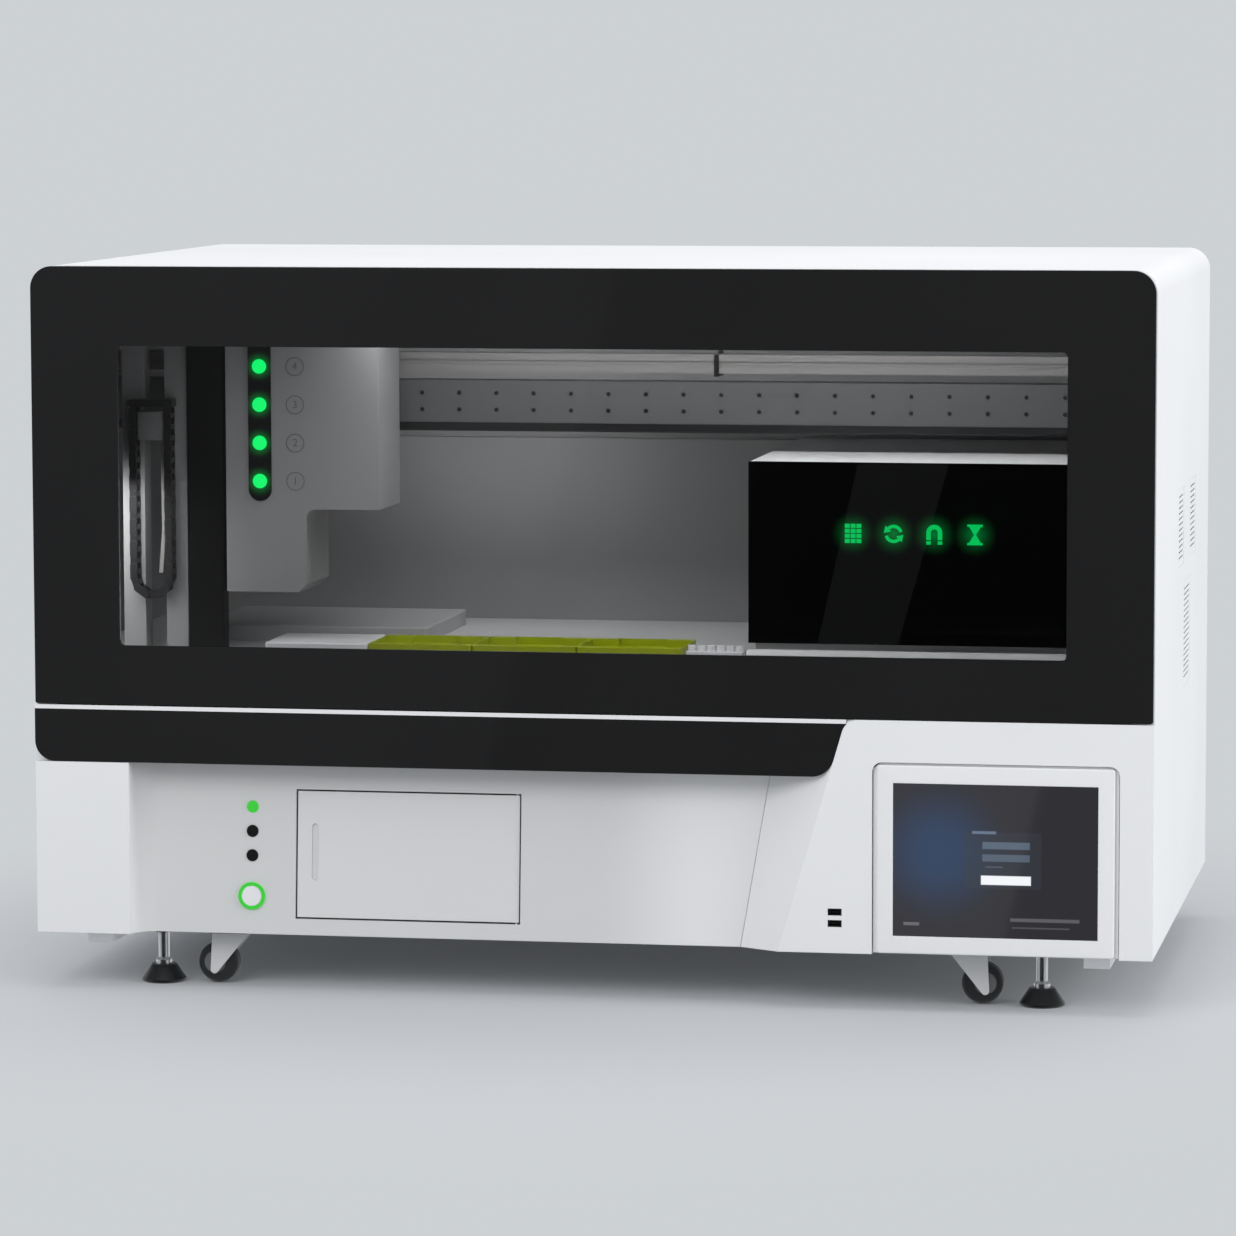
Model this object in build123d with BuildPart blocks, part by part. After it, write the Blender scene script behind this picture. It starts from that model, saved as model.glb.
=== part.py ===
from build123d import *
import os
from math import atan, cos, pi, sin

os.makedirs("parts", exist_ok=True)

# ---------------------------------------------------------------- driving sizes (mm)
# X runs left to right as the operator sees it, Y front to back, Z up from the floor.
case_width = 1380.0
case_depth = 840.0
case_height = 824.0
floor_gap = 70.0
cover_wall = 2.5
case_corner_radius = 28.0
flange_width = 26.0
shut_line = 1.5
glass_thickness = 6.0
seal_gap = 1.5
sheet = 2.0
slip = 0.3
running_clearance = 0.05

# Heights of the front bands above the case bottom.
door_bottom_height = 285.5
trim_height = 5.0
trim_reach = 2.0
strip_bottom_height = 214.0
strip_depth = 52.0

# Chamber window in the door, measured from the case edges.
window_left_margin = 110.0
window_right_margin = 105.0
window_bottom_height = 359.0
window_top_margin = 97.0

# Flip-up door hinge.
hinge_setback = 11.0
hinge_drop = 5.0
hinge_barrel = 8.0
hinge_pin = 4.0
hinge_length = 54.0
hinge_spacing = 450.0
door_rim_width = 30.0
door_rim_depth = 14.0

# Recessed lower front.
block_width = 119.0
recess_depth_low = 28.0
recess_depth_high = 44.0
recess_blend = 30.0
moulding_wall = 4.0
fascia_thickness = 6.0

# Screen housing: a slanted left edge, then a pocket for the touch screen.
housing_inset = 453.0
housing_corner = 20.0
housing_slant = 0.2926
facet_slope = 1.745
housing_depth = 60.0
pocket_right_margin = 40.0
pocket_width = 298.0
pocket_height = 233.0
pocket_depth = 34.0
pocket_radius = 12.0
bezel_width = 287.0
bezel_height = 228.5
bezel_thickness = 24.0
bezel_foot = 1.5
bezel_corner = 4.0
bezel_skirt_depth = 5.0
bezel_skirt_gap = 1.0
display_width = 247.0
display_height = 185.5
display_foot = 23.0
display_thickness = 3.0
screen_pin = 5.0
screen_pin_drop = 6.0
screen_pin_setback = 8.0

# Service door in the recess.
service_inset = 321.0
service_width = 283.0
service_foot_height = 20.0
service_height = 160.0
service_gap = 2.0
service_thickness = 4.0
service_setback = 2.0
service_pin = 2.5
service_pin_inset = 3.5
service_bin_depth = 230.0
grip_width = 8.0
grip_height = 70.0
grip_depth = 2.5
grip_inset = 24.0

# Indicator lamps and power button in the recess.
lamp_inset = 266.0
lamp_diameter = 15.0
lamp_pitch = 30.0
lamp_top_height = 157.0
button_height = 47.0
button_ring_diameter = 34.0
button_cap_diameter = 25.0
button_travel = 3.0
usb_inset = 383.0
usb_width = 17.0
usb_height = 8.5
usb_pitch = 14.0
usb_top_height = 50.0

# Process chamber.
deck_height = 340.0
deck_thickness = 6.0
deck_front = 22.0
chamber_back = 596.0
chamber_side_gap = 14.0
chamber_top_gap = 22.0

# Plate carriers on the deck.
plate_length = 127.76
plate_width = 85.48
plate_clearance = 0.5
carrier_pitch = 132.0
carrier_length = 131.2
carrier_depth = 115.0
carrier_height = 12.0
carrier_floor = 3.0
carrier_front = 130.0
first_carrier_inset = 326.0
carrier_count = 4

# Raised tray behind the carriers.
tray_inset = 140.0
tray_width = 300.0
tray_front = 258.0
tray_depth = 242.0
tray_height = 20.0

# Tube strip and sill.
tube_pitch = 12.0
tube_count = 6
tube_diameter = 10.0
tube_rack_gap = 4.4
sill_height = 6.0

# Magnet module.
module_inset = 512.0
module_front = 150.0
module_depth = 430.0
module_foot_height = 359.0
module_height = 224.0
module_wall = 3.0
module_glass_thickness = 4.0
plinth_inset = 8.0

# Gantry beam and rails.
beam_front = 300.0
beam_depth = 40.0
beam_foot_height = 618.0
beam_height = 53.0
beam_wall = 4.0
beam_hole = 6.0
beam_hole_depth = 2.5
beam_hole_pitch = 48.0
beam_row_gap = 21.0
upper_rail_foot_height = 682.0
upper_rail_height = 24.0
lower_rail_height = 11.0
lower_rail_depth = 30.0

# Pipetting head.
head_inset = 208.0
head_width = 195.0
head_front = 150.0
head_depth = 121.0
head_leg_width = 102.0
head_leg_foot_height = 413.0
head_foot_height = 517.0
head_top_height = 776.0
head_wall = 2.5
head_inner_radius = 12.0
head_chamfer = 10.0
led_strip_width = 29.0
led_strip_inset = 44.0
led_strip_foot_height = 527.0
led_diameter = 18.0
led_pitch = 47.7
led_first_height = 552.0
led_count = 4
carriage_thickness = 20.0
arm_width = 30.0
arm_height = 36.0
arm_reach = 112.0
nozzle_pitch = 24.0
nozzle_body = 16.0
nozzle_rod = 9.0
nozzle_tip = 5.0
nozzle_travel = 55.0

# Left column and cable chain.
post_width = 28.0
post_depth = 30.0
post_inset = 72.0
post_gap = 27.0
column_front = 160.0
panel_width = 46.0
panel_depth = 24.0
chain_bend_radius = 22.5
chain_pitch = 14.0
chain_width = 22.0
chain_height = 9.0
chain_cheek = 1.8
chain_top_height = 640.0
chain_low_height = 430.0

# Feet, casters and base rails.
foot_side_inset = 140.0
foot_inset = 80.0
foot_pad_diameter = 56.0
foot_pad_crown = 34.0
foot_pad_height = 22.0
foot_collar = 20.0
foot_collar_height = 8.0
foot_stud = 14.0
foot_nut_size = 22.0
foot_nut_height = 8.0
foot_stud_length = 92.0
caster_side_inset = 228.0
caster_trail = 16.0
wheel_diameter = 50.0
wheel_width = 19.0
wheel_lift = 1.5
wheel_axle = 8.0
fork_wall = 2.5
fork_width = 45.0
fork_tip_reach = 9.0
fork_tip_radius = 5.0
caster_plate = 50.0
caster_plate_thickness = 5.0
rail_side_inset = 70.0
rail_end_inset = 40.0
rail_width = 32.0
rail_height = 17.0

# Rear fittings.
inlet_inset = 170.0
inlet_height = 90.0
inlet_width = 27.5
inlet_tall = 20.0
rocker_width = 19.0
rocker_tall = 13.0
vent_slot_width = 70.0
vent_slot_height = 4.0
vent_slot_pitch = 11.0
vent_slots = 9
rear_inset = 14.0
side_slot_pitch = 7.0
side_slot_height = 2.0
side_vent_depth = 0.8
back_panel_height = 580.0
back_panel_depth = 14.0

# ---------------------------------------------------------------- derived places
left_x = -case_width / 2
right_x = case_width / 2
front_y = -case_depth / 2
rear_y = case_depth / 2
case_bottom = floor_gap
case_top = floor_gap + case_height
cover_front = glass_thickness + seal_gap
strip_top_height = door_bottom_height - shut_line - trim_height
hinge_y = front_y + hinge_setback
hinge_z = case_top - hinge_drop
housing_foot_x = right_x - housing_inset
housing_top = floor_gap + door_bottom_height - shut_line
service_left_x = left_x + service_inset
lamp_x = left_x + lamp_inset
usb_x = right_x - usb_inset
first_carrier_x = left_x + first_carrier_inset
last_carrier_edge = first_carrier_x + (carrier_count - 1) * carrier_pitch + carrier_length / 2
tube_rack_x = last_carrier_edge + tube_rack_gap + tube_pitch * tube_count / 2
tray_left_x = left_x + tray_inset
module_left_x = right_x - module_inset
head_left_x = left_x + head_inset
post_first_x = left_x + post_inset
chain_x = post_first_x + post_width + post_gap / 2
foot_x = right_x - foot_side_inset
caster_x = right_x - caster_side_inset
rail_x = right_x - rail_side_inset
inlet_x = right_x - inlet_inset


def up(height):
    """Floor coordinate of a height above the case bottom."""
    return case_bottom + height


def facing(depth=0.0):
    """Plane facing the operator, depth mm behind the front; sketch x is +X and sketch y is +Z."""
    return Plane(origin=(0, front_y + depth, 0), x_dir=(1, 0, 0), z_dir=(0, -1, 0))


def side(x=0.0):
    """Plane across the case at x; sketch x is +Y and sketch y is +Z."""
    return Plane(origin=(x, 0, 0), x_dir=(0, 1, 0), z_dir=(1, 0, 0))


def block(x_span, depth_span, z_span, mode=Mode.ADD):
    """Box between X limits, depths behind the front plane and floor heights."""
    spans = (x_span, [front_y + d for d in depth_span], z_span)
    with Locations(tuple((a + b) / 2 for a, b in spans)):
        Box(*(b - a for a, b in spans), mode=mode)


def clear_flange():
    """Cut a front moulding back where the cover's side flanges pass behind it."""
    reach = flange_width + slip
    for x_span in ((left_x - 1, left_x + reach), (right_x - reach, right_x + 1)):
        block(x_span, (cover_front, case_depth), (case_bottom - 1, case_top), mode=Mode.SUBTRACT)


def write(part, name):
    """Label a finished piece and write its STEP file."""
    part.part.label = name
    export_step(part.part, f"parts/{name}.step")


def outline(inset=0.0, open_foot=False):
    """Section of the case on a facing plane: square foot, rounded top corners."""
    foot = case_bottom - 1 if open_foot else case_bottom + inset
    with Locations((0, foot)):
        Rectangle(
            case_width - 2 * inset,
            case_top - inset - foot,
            align=(Align.CENTER, Align.MIN),
        )
    fillet(vertices().group_by(Axis.Y)[-1], case_corner_radius - inset)


# ================================================================ case shell
# The steel cover is one wrapped sheet: two sides and a roof, with a front flange that the door
# closes against and a stepped notch along the roof where the door's top edge turns.
notch_rear = hinge_setback + hinge_drop + 4.5
notch_floor = hinge_z - hinge_barrel / 2 - 5.0
cover_flange_top = case_top - flange_width - 6.0
crossbar_low = up(door_bottom_height)
crossbar_high = crossbar_low + 14.0
# Depth and height of each vent field's centre, then its width and height.
side_vents = (
    (392.0, 489.0, 80.0, 98.0),
    (578.0, 489.0, 88.0, 98.0),
    (490.0, 348.0, 100.0, 134.0),
)

with BuildPart() as cover_cavity:
    with BuildSketch(facing(cover_front + cover_wall)):
        outline(cover_wall, open_foot=True)
    extrude(amount=-case_depth)
    with BuildSketch(side()):
        with BuildLine():
            Polyline(
                (front_y, notch_floor - cover_wall),
                (front_y + notch_rear + cover_wall, notch_floor - cover_wall),
                (front_y + notch_rear + cover_wall, case_top),
                (front_y, case_top),
                close=True,
            )
        make_face()
    extrude(amount=case_width, both=True, mode=Mode.SUBTRACT)

with BuildPart() as outer_cover:
    with BuildSketch(facing(cover_front)):
        outline()
    extrude(amount=-(case_depth - cover_front))
    add(cover_cavity.part, mode=Mode.SUBTRACT)
    block((left_x, right_x), (0, notch_rear), (notch_floor, case_top), mode=Mode.SUBTRACT)
    # Openings in the front flange: the chamber above, the control bay below.
    opening_x = (left_x + flange_width, right_x - flange_width)
    block(opening_x, (0, notch_rear), (crossbar_high, cover_flange_top), mode=Mode.SUBTRACT)
    block(opening_x, (0, notch_rear), (case_bottom - 1, crossbar_low), mode=Mode.SUBTRACT)
    # Pressed vent fields on both sides, each with a stack of fine slots.
    for vent_depth, vent_height, vent_width, vent_tall in side_vents:
        slot_rows = int((vent_tall - 2 * side_slot_pitch) // side_slot_pitch)
        for wall_x in (left_x, right_x):
            with Locations((wall_x, front_y + vent_depth, up(vent_height))):
                Box(2 * side_vent_depth, vent_width, vent_tall, mode=Mode.SUBTRACT)
            with BuildSketch(side(wall_x)):
                with Locations((front_y + vent_depth, up(vent_height))):
                    with GridLocations(0, side_slot_pitch, 1, slot_rows):
                        Rectangle(vent_width - 2 * side_slot_pitch, side_slot_height)
            extrude(amount=cover_wall + 1, both=True, mode=Mode.SUBTRACT)
write(outer_cover, "outer_cover")

# Rear panel with vent slots and the cut-outs for the mains fittings.
inlet_z = up(inlet_height)
rear_panel_depth = case_depth - rear_inset - sheet
rocker_z = inlet_z + inlet_tall / 2 + rocker_tall / 2 + 10.0
with BuildPart() as rear_panel:
    with BuildSketch(facing(rear_panel_depth)):
        outline(cover_wall + slip)
        with Locations((inlet_x, inlet_z)):
            Rectangle(inlet_width, inlet_tall, mode=Mode.SUBTRACT)
        with Locations((inlet_x, rocker_z)):
            Rectangle(rocker_width, rocker_tall, mode=Mode.SUBTRACT)
        for vent_x in (left_x + 160.0, right_x - 160.0):
            with Locations((vent_x, up(case_height * 0.62))):
                with GridLocations(0, vent_slot_pitch, 1, vent_slots):
                    Rectangle(vent_slot_width, vent_slot_height, mode=Mode.SUBTRACT)
    extrude(amount=-sheet)
write(rear_panel, "rear_panel")

# Base pan: a folded tray inside the cover, with threaded bosses over the levelling feet.
pan_inset = cover_wall + slip
pan_flange = 10.0
foot_places = [(sx * foot_x, sy * (case_depth / 2 - foot_inset)) for sy in (-1, 1) for sx in (-1, 1)]
caster_places = [(sx * caster_x, sy * (case_depth / 2 - foot_inset)) for sy in (-1, 1) for sx in (-1, 1)]
pan_front = housing_depth + 2 * sheet
with BuildPart() as base_pan:
    block(
        (left_x + pan_inset, right_x - pan_inset),
        (pan_front, rear_panel_depth - slip),
        (case_bottom, up(pan_flange)),
    )
    block(
        (left_x + pan_inset + sheet, right_x - pan_inset - sheet),
        (pan_front + sheet, rear_panel_depth - sheet - slip),
        (case_bottom + sheet, up(pan_flange) + 1),
        mode=Mode.SUBTRACT,
    )
    with BuildSketch(Plane.XY.offset(case_bottom)):
        with Locations(*foot_places):
            Circle(foot_stud)
    extrude(amount=sheet + 14.0)
    with BuildSketch(Plane.XY.offset(case_bottom)):
        with Locations(*foot_places):
            Circle(foot_stud / 2 + running_clearance)
    extrude(amount=sheet + 14.0, mode=Mode.SUBTRACT)
write(base_pan, "base_pan")

# Two channel rails with folded ends run front to back under the pan, open below.
rail_floor = case_bottom - rail_height
with BuildPart() as base_rails:
    for rail_centre in (-rail_x, rail_x):
        rail_sides = (rail_centre - rail_width / 2, rail_centre + rail_width / 2)
        rail_ends = (rail_end_inset, case_depth - rail_end_inset)
        block(rail_sides, rail_ends, (rail_floor, case_bottom))
        block(
            (rail_sides[0] + sheet, rail_sides[1] - sheet),
            (rail_ends[0] + sheet, rail_ends[1] - sheet),
            (rail_floor - 1, case_bottom - sheet),
            mode=Mode.SUBTRACT,
        )
write(base_rails, "base_rails")

# ================================================================ lower front
# The recess face leans back towards its top. Its frame has sketch x along +X, sketch y up the lean.
lean = atan((recess_depth_high - recess_depth_low) / strip_bottom_height)
recess_plane = Plane(
    origin=(0, front_y + recess_depth_low, case_bottom),
    x_dir=(1, 0, 0),
    z_dir=(0, -cos(lean), sin(lean)),
)


def leaned(offset=0.0):
    """Plane parallel to the recess face, offset mm in front of it (negative goes behind)."""
    return recess_plane.offset(offset)


def edge_x(height):
    """X of the housing's slanted front edge at a height above the case bottom."""
    return housing_foot_x + housing_slant * height


recess_left_x = left_x + block_width


def housing_profile(depth, grow=0.0):
    """Outline of the screen housing at a depth; the slanted side runs back towards the left."""
    shift = facet_slope * depth + grow
    Polygon(
        (edge_x(0) - shift, case_bottom),
        (right_x, case_bottom),
        (right_x, housing_top),
        (edge_x(housing_top - case_bottom) - shift, housing_top),
        align=None,
    )
    fillet(vertices().group_by(Axis.Y)[-1].sort_by(Axis.X)[0], housing_corner)


with BuildPart() as housing_body:
    with BuildSketch(facing(0)):
        housing_profile(0)
    with BuildSketch(facing(housing_depth)):
        housing_profile(housing_depth)
    loft(ruled=True)

def recess_cut(grow):
    """All that stands in front of the leaning face, from the block's cheek to past the facet."""
    reach = 200.0
    margin = 20.0
    with BuildPart() as cut:
        with BuildSketch(Plane.XY.offset(case_bottom - margin)):
            Polygon(
                (recess_left_x - grow, front_y - margin),
                (right_x, front_y - margin),
                (right_x, front_y + reach),
                (recess_left_x - grow, front_y + reach),
                align=None,
            )
        extrude(amount=strip_bottom_height + 3 * margin)
        split(bisect_by=leaned(-grow), keep=Keep.TOP)
        cheek = cut.edges().filter_by(GeomType.LINE).group_by(Axis.X)[0].sort_by(Axis.Y)[-1]
        fillet(cheek, recess_blend)
    return cut.part


fascia_top = up(strip_bottom_height) - 0.5
service_right_x = service_left_x + service_width
service_foot = service_foot_height / cos(lean)
pin_line = service_right_x - service_gap - service_pin_inset
fascia_depth = strip_depth + 8.0
# The service door sits back from the recess face and turns on a line at half its thickness.
pivot_centre = leaned(-service_setback - service_thickness / 2).from_local_coords(
    Vector(pin_line, service_foot + service_height / 2, 0)
)
pivot_plane = Plane(origin=pivot_centre, x_dir=(1, 0, 0), z_dir=leaned().y_dir)
# The hollow behind the moulding follows its front at one wall thickness.
with BuildPart() as fascia_hollow:
    block(
        (left_x + moulding_wall, right_x + 1),
        (moulding_wall, fascia_depth + 1),
        (case_bottom + moulding_wall, fascia_top - moulding_wall),
    )
    add(recess_cut(fascia_thickness), mode=Mode.SUBTRACT)

# What the mouldings beside the housing are cut back by: its outline and a fine seam.
with BuildPart() as housing_side:
    with BuildSketch(facing(-1.0)):
        housing_profile(-1.0, slip)
    with BuildSketch(facing(fascia_depth + 1.0)):
        housing_profile(fascia_depth + 1.0, slip)
    loft(ruled=True)

with BuildPart() as lower_fascia:
    block((left_x, right_x), (0, fascia_depth), (case_bottom, fascia_top))
    add(recess_cut(0.0), mode=Mode.SUBTRACT)
    add(fascia_hollow.part, mode=Mode.SUBTRACT)
    add(housing_side.part, mode=Mode.SUBTRACT)
    clear_flange()
    # Service opening with a pivot hole in its upper and lower edge.
    with BuildSketch(leaned()):
        with Locations(((service_left_x + service_right_x) / 2, service_foot + service_height / 2)):
            Rectangle(service_width, service_height)
    extrude(amount=fascia_thickness + 30.0, both=True, mode=Mode.SUBTRACT)
    with BuildSketch(pivot_plane):
        Circle(service_pin / 2 + running_clearance)
    extrude(amount=service_height / 2 + 8.0, both=True, mode=Mode.SUBTRACT)
    # Seats for the lamps and the power button.
    with BuildSketch(leaned()):
        for row in range(3):
            with Locations((lamp_x, (lamp_top_height - row * lamp_pitch) / cos(lean))):
                Circle(lamp_diameter / 2)
        with Locations((lamp_x, button_height / cos(lean))):
            Circle(button_ring_diameter / 2 - 2.0)
    extrude(amount=fascia_thickness + 2.0, both=True, mode=Mode.SUBTRACT)
write(lower_fascia, "lower_fascia")

# Hollow black strip above the recess. Its right end follows the housing's slant and corner.
strip_top = up(strip_top_height)
strip_bottom = up(strip_bottom_height)
strip_corner = 25.0
strip_end_radius = 28.0
strip_reach = 0.5 * housing_corner
corner_foot_height = strip_top_height - housing_corner
with BuildPart() as strip_shape:
    with BuildSketch(facing(0)):
        Polygon(
            (left_x, strip_bottom),
            (edge_x(strip_bottom_height) - slip, strip_bottom),
            (edge_x(corner_foot_height) - slip, up(corner_foot_height)),
            (edge_x(corner_foot_height) + strip_reach, up(corner_foot_height)),
            (edge_x(strip_top_height) + strip_reach, strip_top),
            (left_x, strip_top),
            align=None,
        )
        fillet(vertices().group_by(Axis.Y)[0].sort_by(Axis.X)[0], strip_corner)
        fillet(vertices().group_by(Axis.Y)[0].sort_by(Axis.X)[-1], strip_end_radius)
    extrude(amount=-strip_depth)
    add(housing_side.part, mode=Mode.SUBTRACT)
with BuildPart() as lower_strip:
    add(strip_shape.part)
    offset(amount=-moulding_wall, openings=faces().sort_by(Axis.Y)[-1])
    clear_flange()
write(lower_strip, "lower_strip")

# Bright line along the top of the strip; it stops just short of the housing's round corner.
trim_end_x = edge_x(strip_top_height) + trim_reach
with BuildPart() as trim_line:
    with BuildSketch(Plane.XY.offset(strip_top)):
        Polygon(
            (left_x, front_y),
            (trim_end_x, front_y),
            (trim_end_x - facet_slope * cover_front, front_y + cover_front),
            (left_x, front_y + cover_front),
            align=None,
        )
    extrude(amount=trim_height)
write(trim_line, "trim_line")

# Screen housing: moulded shell with the facet and an open-footed pocket.
pocket_right = right_x - pocket_right_margin
pocket_left = pocket_right - pocket_width
pocket_centre = (pocket_left + pocket_right) / 2
pocket_top = up(pocket_height)
bezel_bottom = up(bezel_foot)
bezel_top = bezel_bottom + bezel_height
screen_axis_depth = screen_pin_setback
screen_pin_length = 12.0
screen_axis_z = bezel_top - screen_pin_drop


def pocket_shape(grow=0.0):
    """Outline of the screen pocket, open at the foot."""
    with Locations((pocket_centre, case_bottom - 20.0 - grow)):
        Rectangle(
            pocket_width + 2 * grow,
            pocket_height + 20.0 + 2 * grow,
            align=(Align.CENTER, Align.MIN),
        )
    fillet(vertices().group_by(Axis.Y)[-1], pocket_radius + grow)


def hollow_profile(depth):
    """Outline of the housing's hollow at a depth, one wall in from its outline."""
    shift = facet_slope * depth - moulding_wall
    low = case_bottom + moulding_wall
    high = housing_top - moulding_wall
    Polygon(
        (edge_x(low - case_bottom) - shift, low),
        (right_x - moulding_wall, low),
        (right_x - moulding_wall, high),
        (edge_x(high - case_bottom) - shift, high),
        align=None,
    )
    fillet(vertices().group_by(Axis.Y)[-1].sort_by(Axis.X)[0], housing_corner - moulding_wall)


with BuildPart() as housing_hollow:
    with BuildSketch(facing(moulding_wall)):
        hollow_profile(moulding_wall)
    with BuildSketch(facing(housing_depth + 1)):
        hollow_profile(housing_depth)
    loft(ruled=True)
    with BuildSketch(facing(0)):
        pocket_shape(moulding_wall)
    extrude(amount=-(pocket_depth + moulding_wall), mode=Mode.SUBTRACT)

with BuildPart() as screen_housing:
    add(housing_body.part)
    add(housing_hollow.part, mode=Mode.SUBTRACT)
    with BuildSketch(facing(-1)):
        pocket_shape()
    extrude(amount=-(pocket_depth + 1), mode=Mode.SUBTRACT)
    # Two pivot pins stand out of the pocket's cheeks.
    for cheek_x, way in ((pocket_left, 1), (pocket_right, -1)):
        with BuildSketch(side(cheek_x)):
            with Locations((front_y + screen_axis_depth, screen_axis_z)):
                Circle(screen_pin / 2)
        extrude(amount=way * screen_pin_length)
    # Cable slot at the back of the pocket and the two data sockets' cut-outs.
    with BuildSketch(facing(pocket_depth - 1)):
        with Locations((pocket_centre, up(bezel_height / 2))):
            SlotOverall(40.0, 12.0)
    extrude(amount=-(moulding_wall + 2), mode=Mode.SUBTRACT)
    with BuildSketch(facing(-1)):
        with Locations((usb_x, up(usb_top_height)), (usb_x, up(usb_top_height - usb_pitch))):
            Rectangle(usb_width, usb_height)
    extrude(amount=-(moulding_wall + 2), mode=Mode.SUBTRACT)
    clear_flange()
write(screen_housing, "screen_housing")

# Data sockets: metal shells with a tongue, seated in the housing's cut-outs.
with BuildPart() as usb_ports:
    with BuildSketch(facing(1.0)):
        with Locations((usb_x, up(usb_top_height)), (usb_x, up(usb_top_height - usb_pitch))):
            Rectangle(usb_width - 0.4, usb_height - 0.4)
            Rectangle(usb_width - 4.0, usb_height - 3.4, mode=Mode.SUBTRACT)
    extrude(amount=-16.0)
    with BuildSketch(facing(3.0)):
        with Locations((usb_x, up(usb_top_height)), (usb_x, up(usb_top_height - usb_pitch))):
            Rectangle(usb_width - 4.0, 1.8)
    extrude(amount=-14.0)
write(usb_ports, "usb_ports")

# ---------------------------------------------------------------- touch screen
# The bezel's rear skirt nearly fills the pocket, so the joint round it is a shallow groove.
display_setback = 1.2
skirt_width = pocket_width - 2 * bezel_skirt_gap
with BuildPart() as screen_bezel:
    with BuildSketch(facing(0)):
        with Locations((pocket_centre, bezel_bottom)):
            RectangleRounded(bezel_width, bezel_height, bezel_corner, align=(Align.CENTER, Align.MIN))
    extrude(amount=-bezel_thickness)
    fillet(faces().sort_by(Axis.Y)[0].edges(), bezel_corner / 2)
    with BuildSketch(facing(bezel_skirt_depth)):
        with Locations((pocket_centre, bezel_bottom)):
            Rectangle(
                skirt_width,
                pocket_top - bezel_skirt_gap - bezel_bottom,
                align=(Align.CENTER, Align.MIN),
            )
        fillet(vertices().group_by(Axis.Y)[-1], pocket_radius)
    extrude(amount=bezel_skirt_depth - bezel_thickness)
    with BuildSketch(facing(-1)):
        with Locations((pocket_centre, up(display_foot))):
            Rectangle(display_width, display_height, align=(Align.CENTER, Align.MIN))
    extrude(amount=-(1 + display_setback + display_thickness), mode=Mode.SUBTRACT)
    for cheek_x, way in ((pocket_centre - skirt_width / 2, 1), (pocket_centre + skirt_width / 2, -1)):
        with BuildSketch(side(cheek_x)):
            with Locations((front_y + screen_axis_depth, screen_axis_z)):
                Circle(screen_pin / 2 + running_clearance)
        extrude(amount=way * (screen_pin_length + 1.0), mode=Mode.SUBTRACT)
write(screen_bezel, "screen_bezel")

with BuildPart() as screen_display:
    with BuildSketch(facing(display_setback)):
        with Locations((pocket_centre, up(display_foot))):
            Rectangle(display_width, display_height, align=(Align.CENTER, Align.MIN))
    extrude(amount=-display_thickness)
write(screen_display, "screen_display")

# ---------------------------------------------------------------- service door
grip_rise = 3.0
with BuildPart() as service_door:
    with BuildSketch(leaned(-service_setback)):
        with Locations(((service_left_x + service_right_x) / 2, service_foot + service_height / 2)):
            Rectangle(service_width - 2 * service_gap, service_height - 2 * service_gap)
    extrude(amount=-service_thickness)
    with BuildSketch(leaned(-service_setback)):
        with Locations((service_left_x + grip_inset, service_foot + service_height / 2 + grip_rise)):
            SlotOverall(grip_height, grip_width, rotation=90)
    extrude(amount=-grip_depth, mode=Mode.SUBTRACT)
    with BuildSketch(pivot_plane):
        Circle(service_pin / 2)
    extrude(amount=service_height / 2 + 5.0, both=True)
write(service_door, "service_door")

# Bin behind the service door, open to the front and cut to the fascia's lean.
bin_margin = 6.0
bin_x = (service_left_x - bin_margin, service_right_x + bin_margin)
service_top_height = service_foot_height + service_height
bin_z = (up(service_foot_height) - bin_margin - sheet, up(service_top_height) + bin_margin)
with BuildPart() as service_box:
    block(bin_x, (recess_depth_low, recess_depth_high + service_bin_depth), bin_z)
    block(
        (bin_x[0] + sheet, bin_x[1] - sheet),
        (0, recess_depth_high + service_bin_depth - sheet),
        (bin_z[0] + sheet, bin_z[1] - sheet),
        mode=Mode.SUBTRACT,
    )
    split(bisect_by=leaned(-fascia_thickness), keep=Keep.BOTTOM)
write(service_box, "service_box")

# Lamps and the power button's ring sit in the recess face; the cap travels through the ring.
lamp_stand = 1.5
ring_stand = 2.5
with BuildPart() as status_lamps:
    with BuildSketch(leaned(-fascia_thickness)):
        for row in range(3):
            with Locations((lamp_x, (lamp_top_height - row * lamp_pitch) / cos(lean))):
                Circle(lamp_diameter / 2)
    extrude(amount=fascia_thickness + lamp_stand)
    fillet(faces().sort_by(Axis((0, 0, 0), leaned().z_dir))[-3:].edges(), lamp_stand * 0.8)
    with BuildSketch(leaned()):
        with Locations((lamp_x, button_height / cos(lean))):
            Circle(button_ring_diameter / 2)
            Circle(button_cap_diameter / 2 + slip, mode=Mode.SUBTRACT)
    extrude(amount=ring_stand)
    with BuildSketch(leaned(-fascia_thickness - 10.0)):
        with Locations((lamp_x, button_height / cos(lean))):
            Circle(button_ring_diameter / 2 - 2.0)
            Circle(button_cap_diameter / 2 + slip, mode=Mode.SUBTRACT)
    extrude(amount=fascia_thickness + 10.0)
write(status_lamps, "status_lamps")

with BuildPart() as power_cap:
    with BuildSketch(leaned(-fascia_thickness)):
        with Locations((lamp_x, button_height / cos(lean))):
            Circle(button_cap_diameter / 2)
    extrude(amount=fascia_thickness + 2.0)
write(power_cap, "power_cap")

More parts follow.
